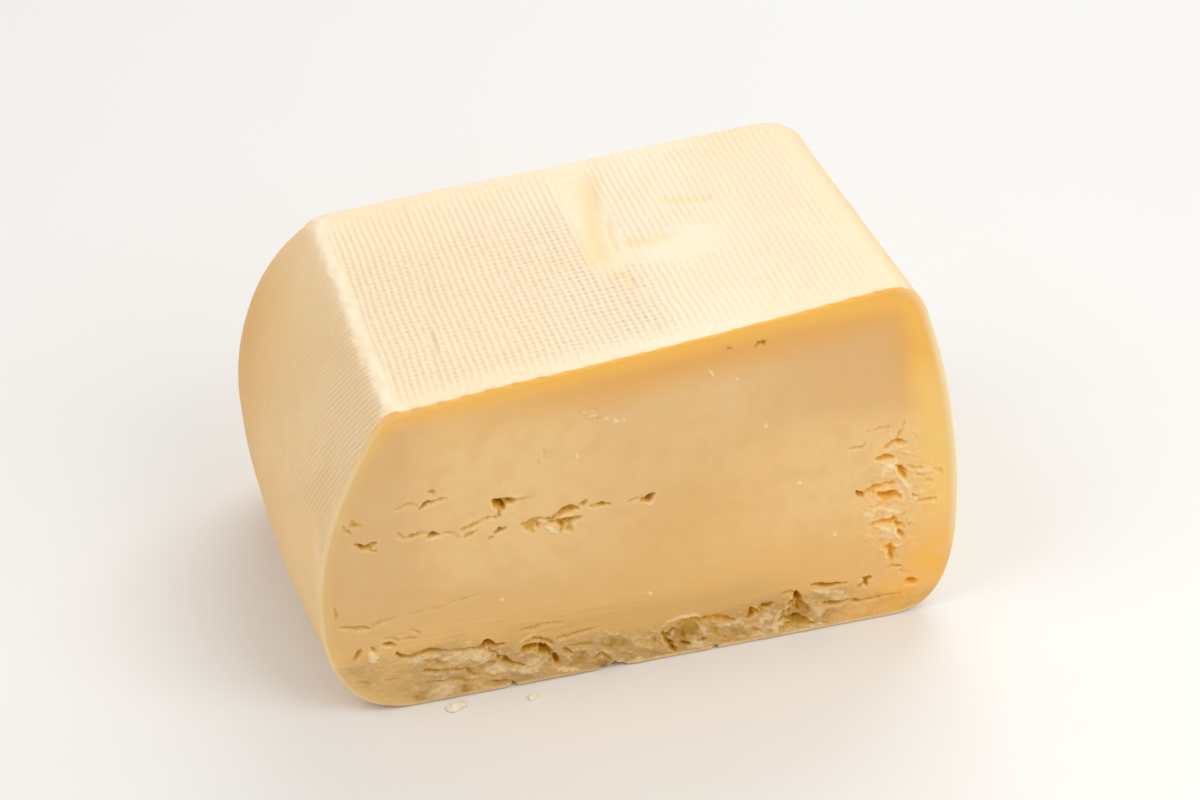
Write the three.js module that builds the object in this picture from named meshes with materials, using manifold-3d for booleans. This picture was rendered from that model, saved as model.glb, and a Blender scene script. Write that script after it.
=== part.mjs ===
// The end half of a small loaf of mild, semi-soft cheese, pressed in cloth and cut across with a knife.
//
// The loaf is a block whose four sides belly outwards. Its top is flat but leans, so that the piece stands
// taller on the right than on the left. The left shoulder is crisp and the right one rounded, and the foot
// is well rounded all the way around. The cut face is flat and shows mechanical openings: a row of torn
// slits left of the middle, a cluster of tears near the right rind, and a crumbly strip of hollows along
// the foot.
//
// Millimetres, +Z up. Everything is laid out about the middle of the cut loaf's width, and is centred at
// the end, so that the origin is under the middle of the finished piece, on the surface that it rests on.
// The cut face looks along -Y, and the loaf's own end along +Y.

import * as THREE from "three";
import { mergeVertices } from "three/addons/utils/BufferGeometryUtils.js";
import Module from "manifold-3d";

const wasm = await Module();
wasm.setup();

// Driving dimensions.
const WIDTH = 136; // belly to belly, along the cut face
const DEPTH = 88.4; // from the cut face to the belly of the loaf's end
const LOAF_LENGTH = 200; // of the whole loaf, before it was cut
const HEIGHT = 77.9; // at the middle of the top
const TOP_LEAN = 0.109; // rise of the top for each millimetre to the right
const END_SKEW = 0.06; // how far the loaf's end is out of square with the cut
const CORNER_RADIUS = { foot: 11, belly: 10.5, top: 5 }; // of the upright corners, seen from above

// Behind the cut the left side swells beyond the cut face, most of all half way along the loaf and a little
// below mid-height.
const SWELL = { out: 3.2, reach: 47, middle: 3, up: 0.42, spread: 0.5 };

// How finely each stretch is divided.
const FOOT_STEPS = 6;
const SIDE_STEPS = 9;
const SHOULDER_STEPS = 4;
const CORNER_STEPS = 6;
const RUN_STEPS = 10;
const CAP_RINGS = 5;

// Each side's upright outline. "in" is the distance inwards from the belly, and "up" the height on a block
// that is HEIGHT tall. The foot's flat ends at foot.in, the belly stands at belly.up, and the top's flat ends
// at top.in.
const LEFT = {
  foot: { in: 20, full: 8 },
  belly: { up: 31, rise: 15 },
  shoulder: { in: 14, up: 76, hold: { in: 4.6, up: 62 } },
  top: { in: 18, crisp: 15.6 },
};
const RIGHT = {
  foot: { in: 14, full: 3.6 },
  belly: { up: 20, rise: 17 },
  shoulder: { in: 10, up: 69, hold: { in: 5.4, up: 58 } },
  top: { in: 20, crisp: 12.6 },
};
const END = {
  foot: { in: 18, full: 7 },
  belly: { up: 28, rise: 16 },
  shoulder: { in: 9.6, up: 74, hold: { in: 1, up: 65 } },
  top: { in: 14, crisp: 11.4 },
};

// Openings in the cut face: x and z of the middle, width, height, depth into the cheese, and tilt in degrees.
const SLITS = [
  { x: -58.5, z: 43.7, width: 4, height: 1.8, depth: 2.2, tilt: -12 },
  { x: -46, z: 51.6, width: 8, height: 1.2, depth: 2, tilt: 6 },
  { x: -45.6, z: 43.8, width: 10, height: 1.2, depth: 2, tilt: -5 },
  { x: -31, z: 48, width: 3.8, height: 3.4, depth: 4.4, tilt: 30 },
  { x: -35.2, z: 44.4, width: 6.5, height: 1.1, depth: 2, tilt: 12 },
  { x: -31.5, z: 41.7, width: 2.2, height: 1.5, depth: 2.6, tilt: 0 },
  { x: -25, z: 41.4, width: 4.4, height: 3, depth: 3.2, tilt: 10 },
  { x: -18.2, z: 40.8, width: 5, height: 3, depth: 4, tilt: 12 },
  { x: -16.6, z: 44.2, width: 7, height: 1.8, depth: 3, tilt: 14 },
  { x: -10.8, z: 43.7, width: 5, height: 1, depth: 2, tilt: 0 },
  { x: -0.8, z: 42.9, width: 3.4, height: 2, depth: 3.4, tilt: 6 },
  { x: 22.5, z: 75.4, width: 2.6, height: 1.1, depth: 1.4, tilt: -6 },
];
const SIDE_TEARS = [
  { x: 52.8, z: 46.9, width: 5.6, height: 2, depth: 2.6, tilt: 10 },
  { x: 50, z: 43, width: 4, height: 1.8, depth: 3, tilt: 4 },
  { x: 54.9, z: 38.4, width: 2.6, height: 5, depth: 3, tilt: -24 },
  { x: 45.4, z: 34.9, width: 2.6, height: 2, depth: 3, tilt: 0 },
  { x: 49.4, z: 35.7, width: 6, height: 2, depth: 3.4, tilt: 4 },
  { x: 51.6, z: 33, width: 4.6, height: 3, depth: 4.2, tilt: -8 },
  { x: 61, z: 30.4, width: 6, height: 1.4, depth: 2, tilt: -4 },
  { x: 51.6, z: 26.6, width: 6.4, height: 1.8, depth: 3, tilt: 4 },
  { x: 55.8, z: 23.8, width: 3.6, height: 4.4, depth: 3.2, tilt: -26 },
  { x: 52.9, z: 18, width: 2, height: 4, depth: 2.6, tilt: 0 },
  { x: 58.8, z: 8.9, width: 2.6, height: 2.2, depth: 2.6, tilt: 0 },
];
const FOOT_HOLLOWS = [
  { x: -60.8, z: 16.8, width: 2.8, height: 3, depth: 2, tilt: 30 },
  { x: -46.2, z: 14.2, width: 14, height: 1.6, depth: 3, tilt: -5 },
  { x: -34.3, z: 13.5, width: 4.2, height: 3, depth: 4.2, tilt: 10 },
  { x: -43.2, z: 8.3, width: 9, height: 1.6, depth: 2.6, tilt: -8 },
  { x: -30.8, z: 8, width: 5.6, height: 2.4, depth: 3.4, tilt: -36 },
  { x: -24, z: 9.8, width: 7.4, height: 3.6, depth: 4.8, tilt: -34 },
  { x: -20.1, z: 6, width: 2.4, height: 3.4, depth: 3.6, tilt: 0 },
  { x: -10, z: 4.2, width: 3.4, height: 3.4, depth: 2.4, tilt: 20 },
  { x: 0.8, z: 6, width: 2.6, height: 2.2, depth: 2.6, tilt: 0 },
  { x: 4.4, z: 5, width: 2.4, height: 4.6, depth: 3, tilt: 20 },
  { x: 8.6, z: 5.8, width: 6.6, height: 6.4, depth: 4, tilt: 4 },
  { x: 16, z: 8, width: 5, height: 1.8, depth: 2.6, tilt: 0 },
  { x: 24.4, z: 9, width: 5.2, height: 2.6, depth: 3.6, tilt: 24 },
  { x: 32.4, z: 7, width: 5.6, height: 7.6, depth: 4.8, tilt: 8 },
  { x: 39, z: 12.2, width: 7, height: 1.5, depth: 3, tilt: -9 },
  { x: 47.9, z: 11.4, width: 2.4, height: 1.8, depth: 2.4, tilt: 0 },
];
const FOOT_NICKS = [
  { x: -29.2, z: 0, width: 4, height: 2.6, depth: 3.4, tilt: 0 },
  { x: -7.5, z: 0, width: 4.4, height: 2, depth: 3, tilt: 0 },
  { x: 15, z: 0, width: 3, height: 1.6, depth: 2.4, tilt: 0 },
];

// Where a seam and two folds of the cloth pressed into the top: middle, length, breadth, depth, and turn in
// degrees.
const CLOTH_PRINTS = [
  { x: 3.4, y: 6, length: 34, breadth: 6, depth: 0.9, turn: 84 },
  { x: 10.4, y: -5.6, length: 14, breadth: 3.2, depth: 0.8, turn: 0 },
  { x: 24.6, y: 4.6, length: 10, breadth: 3, depth: 0.7, turn: -26 },
];

// The top's height at a place, before anything is pressed into it.
function topHeight(x) {
  return HEIGHT + TOP_LEAN * x;
}

// How far a place on the loaf's left half is pushed outwards by the swelling of that side.
function leftSwell({ x, y, up }) {
  const hump = (t) => Math.max(0, 1 - t * t);
  const along = hump((y - SWELL.middle) / SWELL.reach);
  const height = hump((up - SWELL.up) / SWELL.spread);
  const leftness = THREE.MathUtils.clamp((-x - 20) / 35, 0, 1);
  return SWELL.out * along * height * leftness;
}

// One side's outline from the edge of the flat foot, over the belly and the shoulder, to the flat top.
function outlineOf(side) {
  const { foot, belly, shoulder, top } = side;
  const point = (inwards, up) => new THREE.Vector2(inwards, up);
  const footCurve = new THREE.CubicBezierCurve(
    point(foot.in, 0),
    point(foot.in * 0.4, 0),
    point(0, foot.full),
    point(0, belly.up),
  );
  const sideCurve = new THREE.CubicBezierCurve(
    point(0, belly.up),
    point(0, belly.up + belly.rise),
    point(shoulder.hold.in, shoulder.hold.up),
    point(shoulder.in, shoulder.up),
  );
  const shoulderCurve = new THREE.QuadraticBezierCurve(
    point(shoulder.in, shoulder.up),
    point(top.crisp, HEIGHT),
    point(top.in, HEIGHT),
  );
  return [
    ...footCurve.getPoints(FOOT_STEPS),
    ...sideCurve.getPoints(SIDE_STEPS).slice(1),
    ...shoulderCurve.getPoints(SHOULDER_STEPS).slice(1),
  ].map((p) => ({ in: p.x, up: p.y / HEIGHT }));
}

// The radius of the upright corners at one step of the outlines.
function cornerRadius(step) {
  const { foot, belly, top } = CORNER_RADIUS;
  if (step <= FOOT_STEPS) return THREE.MathUtils.lerp(foot, belly, step / FOOT_STEPS);
  const share = (step - FOOT_STEPS) / (SIDE_STEPS + SHOULDER_STEPS);
  return THREE.MathUtils.lerp(belly, top, share);
}

// One closed ring around the loaf, anticlockwise from above: four runs and four corners. Each point is a
// place and its height as a share of the block's.
function ringAt(step, outlines) {
  const { left, right, end } = outlines;
  const radius = cornerRadius(step);
  const far = DEPTH / 2 - end[step].in;
  const near = DEPTH / 2 - LOAF_LENGTH + end[step].in;
  const east = WIDTH / 2 - right[step].in;
  const west = -WIDTH / 2 + left[step].in;
  const upEast = right[step].up;
  const upWest = left[step].up;
  const upEnd = end[step].up;
  const corners = [
    { x: east - radius, y: near + radius, from: -90, up: [upEnd, upEast] },
    { x: east - radius, y: far - radius, from: 0, up: [upEast, upEnd] },
    { x: west + radius, y: far - radius, from: 90, up: [upEnd, upWest] },
    { x: west + radius, y: near + radius, from: 180, up: [upWest, upEnd] },
  ];
  const ring = [];
  corners.forEach((corner, i) => {
    for (let k = 0; k <= CORNER_STEPS; k++) {
      const share = k / CORNER_STEPS;
      const angle = THREE.MathUtils.degToRad(corner.from + 90 * share);
      ring.push({
        x: corner.x + radius * Math.cos(angle),
        y: corner.y + radius * Math.sin(angle),
        up: THREE.MathUtils.lerp(corner.up[0], corner.up[1], share),
      });
    }
    const last = ring[ring.length - 1];
    const next = corners[(i + 1) % corners.length];
    const nextAngle = THREE.MathUtils.degToRad(next.from);
    const first = { x: next.x + radius * Math.cos(nextAngle), y: next.y + radius * Math.sin(nextAngle) };
    for (let k = 1; k < RUN_STEPS; k++) {
      const share = k / RUN_STEPS;
      ring.push({
        x: THREE.MathUtils.lerp(last.x, first.x, share),
        y: THREE.MathUtils.lerp(last.y, first.y, share),
        up: THREE.MathUtils.lerp(last.up, next.up[0], share),
      });
    }
  });
  return ring;
}

// Rings that close a flat from its edge to its middle, as shares of the edge ring.
function capRings(edge, up) {
  const middle = { x: 0, y: DEPTH / 2 - LOAF_LENGTH / 2 };
  const rings = [];
  for (let k = 1; k < CAP_RINGS; k++) {
    const share = 1 - k / CAP_RINGS;
    rings.push(
      edge.map((p) => ({
        x: middle.x + (p.x - middle.x) * share,
        y: middle.y + (p.y - middle.y) * share,
        up,
      })),
    );
  }
  return { rings, middle: { ...middle, up } };
}

// The whole loaf as a closed mesh: the foot's flat, the rings up the sides, and the top's flat.
function loafGeometry() {
  const outlines = { left: outlineOf(LEFT), right: outlineOf(RIGHT), end: outlineOf(END) };
  const sides = outlines.left.map((_, step) => ringAt(step, outlines));
  const foot = capRings(sides[0], 0);
  const top = capRings(sides[sides.length - 1], 1);
  const rings = [...foot.rings.reverse(), ...sides, ...top.rings];
  const count = rings[0].length;

  const place = (p) => [p.x - leftSwell(p), p.y - END_SKEW * p.x, p.up * topHeight(p.x)];
  const positions = [...rings.flat().map(place), place(foot.middle), place(top.middle)].flat();
  const footMiddle = rings.length * count;
  const topMiddle = footMiddle + 1;

  const triangles = [];
  const at = (ring, k) => ring * count + (k % count);
  for (let k = 0; k < count; k++) {
    triangles.push(footMiddle, at(0, k + 1), at(0, k));
    triangles.push(topMiddle, at(rings.length - 1, k), at(rings.length - 1, k + 1));
    for (let ring = 0; ring + 1 < rings.length; ring++) {
      const [a, b, c, d] = [at(ring, k), at(ring, k + 1), at(ring + 1, k + 1), at(ring + 1, k)];
      triangles.push(a, b, c, a, c, d);
    }
  }
  const geometry = new THREE.BufferGeometry();
  geometry.setAttribute("position", new THREE.Float32BufferAttribute(positions, 3));
  geometry.setIndex(triangles);
  return geometry;
}

// A closed three.js geometry as a solid that can be joined and cut.
function solidOf(geometry) {
  const bare = geometry.clone();
  bare.deleteAttribute("normal");
  bare.deleteAttribute("uv");
  const merged = mergeVertices(bare, 1e-4);
  return new wasm.Manifold(
    new wasm.Mesh({
      numProp: 3,
      vertProperties: merged.attributes.position.array,
      triVerts: new Uint32Array(merged.index.array),
    }),
  );
}

function geometryOf(solid) {
  const mesh = solid.getMesh();
  const geometry = new THREE.BufferGeometry();
  geometry.setAttribute("position", new THREE.BufferAttribute(mesh.vertProperties, 3));
  geometry.setIndex(new THREE.BufferAttribute(mesh.triVerts, 1));
  geometry.computeVertexNormals();
  return geometry;
}

// What the knife takes away: everything in front of the cut face.
function knifeCut() {
  const box = new THREE.BoxGeometry(2 * WIDTH, LOAF_LENGTH, 3 * HEIGHT);
  box.translate(0, -DEPTH / 2 - LOAF_LENGTH / 2, HEIGHT / 2);
  return solidOf(box);
}

// A torn opening in the cut face: a knobbly lens, half of it sunk into the cheese.
function openingSolid({ x, z, width, height, depth, tilt }) {
  const lens = new THREE.IcosahedronGeometry(1, 1);
  lens.deleteAttribute("normal");
  lens.deleteAttribute("uv");
  const torn = mergeVertices(lens, 1e-4);
  const position = torn.attributes.position;
  for (let i = 0; i < position.count; i++) {
    const [a, b, c] = [position.getX(i), position.getY(i), position.getZ(i)];
    const ragged = 1 + 0.22 * Math.sin(5 * a + x) * Math.cos(4 * c + z) + 0.1 * Math.sin(7 * b + x + z);
    position.setXYZ(i, a * ragged, b * ragged, c * ragged);
  }
  torn.scale(width / 2, depth, height / 2);
  torn.rotateY(THREE.MathUtils.degToRad(-tilt));
  torn.translate(x, -DEPTH / 2, z);
  return solidOf(torn);
}

// A shallow trough where a seam or a fold of the cloth pressed into the top.
function clothPrintSolid({ x, y, length, breadth, depth, turn }) {
  const trough = new THREE.SphereGeometry(1, 16, 10);
  trough.scale(length / 2, breadth / 2, depth);
  trough.rotateZ(THREE.MathUtils.degToRad(turn));
  trough.rotateY(-Math.atan(TOP_LEAN));
  trough.translate(x, y, topHeight(x));
  return solidOf(trough);
}

function cheeseGeometry() {
  const openings = [...SLITS, ...SIDE_TEARS, ...FOOT_HOLLOWS, ...FOOT_NICKS].map(openingSolid);
  const prints = CLOTH_PRINTS.map(clothPrintSolid);
  const cheese = [knifeCut(), ...openings, ...prints].reduce(
    (solid, tool) => solid.subtract(tool),
    solidOf(loafGeometry()),
  );
  const geometry = geometryOf(cheese);
  geometry.computeBoundingBox();
  const middle = geometry.boundingBox.getCenter(new THREE.Vector3());
  return geometry.translate(-middle.x, -middle.y, 0);
}

const cheese = new THREE.Mesh(
  cheeseGeometry(),
  new THREE.MeshStandardMaterial({ color: 0xf3dcae, roughness: 0.55, metalness: 0 }),
);
cheese.name = "cheese";

const piece = new THREE.Group();
piece.name = "cut_loaf";
piece.add(cheese);

export default piece;
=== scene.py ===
"""The cut end of a block of mild, semi-soft cheese and the crumbs at its foot, on a plain pale floor.

The cheese is one closed mesh. A cube with a fine net is shaped into the block and given the folds that
the cloth pressed into it. A knife, which is a fine net with the tears and hollows of the cut standing out
of it, is then taken away from the block, and leaves the cut face with its relief.

Lengths are metres but where a comment says otherwise. The block is laid out about its own middle, as the
CAD part is, and moved into the part's frame at the end: x runs along the cut face, y from the cut to the
block's end, and z is up.
"""

import math
from collections import namedtuple
from functools import partial, reduce

import bmesh
import bpy
import numpy as np
from bpy.props import FloatProperty, FloatVectorProperty, IntProperty, PointerProperty
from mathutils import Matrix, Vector


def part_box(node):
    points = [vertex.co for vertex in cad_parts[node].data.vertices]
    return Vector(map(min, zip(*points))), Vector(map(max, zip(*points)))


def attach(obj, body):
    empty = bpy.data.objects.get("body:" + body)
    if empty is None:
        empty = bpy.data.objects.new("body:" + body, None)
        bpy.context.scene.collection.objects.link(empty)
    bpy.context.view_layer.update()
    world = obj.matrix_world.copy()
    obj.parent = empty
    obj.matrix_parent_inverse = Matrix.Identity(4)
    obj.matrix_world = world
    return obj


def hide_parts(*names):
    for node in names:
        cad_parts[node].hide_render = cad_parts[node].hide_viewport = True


bl_info = {
    "name": "Cut Cheese Block",
    "version": (1, 0, 0),
    "blender": (4, 5, 0),
    "location": "3D View > Sidebar > Cheese",
    "description": "Models the cut end of a block of semi-soft cheese, its crumbs and a plain studio",
    "category": "Add Mesh",
}

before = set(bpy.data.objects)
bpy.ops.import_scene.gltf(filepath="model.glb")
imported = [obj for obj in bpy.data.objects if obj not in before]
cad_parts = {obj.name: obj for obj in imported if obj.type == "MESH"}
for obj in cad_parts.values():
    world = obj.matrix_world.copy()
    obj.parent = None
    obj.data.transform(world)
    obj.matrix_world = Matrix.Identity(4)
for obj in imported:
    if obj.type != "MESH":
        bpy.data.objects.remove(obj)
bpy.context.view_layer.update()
NODE_LOW, NODE_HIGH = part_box("cheese")

MM = 0.001

# The block, as the CAD part has it.
FACE_WIDTH = 136 * MM  # of the cut face, belly to belly
DEPTH = 88.4 * MM  # from the cut face to the belly of the end
HEIGHT = 77.9 * MM  # at the middle of the top
TOP_LEAN = 0.109  # rise of the top for each length to the right
END_SKEW = 0.06  # how far the end is out of square with the cut
BEFORE_CUT = 40 * MM  # of the block that the knife takes away
CUT_Y = -DEPTH / 2
NEAR_Y = CUT_Y - BEFORE_CUT
TO_PART = Vector((NODE_HIGH[0] - FACE_WIDTH / 2, NODE_LOW[1] - CUT_Y, 0))  # from the block's own middle

CORNER_RADIUS = {"foot": 11 * MM, "belly": 10.5 * MM, "top": 5 * MM}
# The left side is swollen: how far out, how far along from where, and over which shares of the height.
SWELL = {"out": 3.2 * MM, "reach": 47 * MM, "middle": 3 * MM, "up": 0.42, "spread": 0.5}

# Each side's upright outline as three curves, foot, side and shoulder: distances inwards from the belly,
# and up on a block that is HEIGHT tall.
Outline = namedtuple("Outline", "foot side shoulder")


def outline_of(foot_in, foot_full, belly_up, belly_rise, shoulder, hold, top_in, crisp):
    """The three curves of one side, from a few lengths in millimetres."""
    foot = [(foot_in, 0), (foot_in * 0.4, 0), (0, foot_full), (0, belly_up)]
    side = [(0, belly_up), (0, belly_up + belly_rise), hold, shoulder]
    top = HEIGHT / MM
    return Outline(foot, side, [shoulder, (crisp, top), (top_in, top)])


LEFT = outline_of(20, 8, 31, 15, shoulder=(14, 76), hold=(4.6, 62), top_in=18, crisp=15.6)
RIGHT = outline_of(14, 3.6, 20, 17, shoulder=(10, 69), hold=(5.4, 58), top_in=20, crisp=12.6)
END = outline_of(18, 7, 28, 16, shoulder=(9.6, 74), hold=(1, 65), top_in=14, crisp=11.4)
FOOT_SHARE = 0.3  # of the net's upright steps that the foot's curve takes
SHOULDER_SHARE = 0.14

BLOCK_CUTS = ((11, 13), (9, 12), (7, 12))  # how the cube's edges along x, y and z are divided, and again
KNIFE_MARGIN = 2.5 * MM  # by which the knife is wider than the face, on each side
KNIFE_BACK = 20 * MM  # by which it stands clear of the part that it takes away
# The knife's rows, as stretches of height in millimetres and their spacing as a share of the net's: fine
# where the cut is torn, wider where it is smooth.
KNIFE_ROWS = [(-2, 20, 1), (20, 36, 1.25), (36, 56, 1), (56, 90, 2.2)]
MOST_TRIANGLES = 188000
DEEPEST_RIM = 14 * MM  # distances from the cut's edge are worked out as far as this

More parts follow.
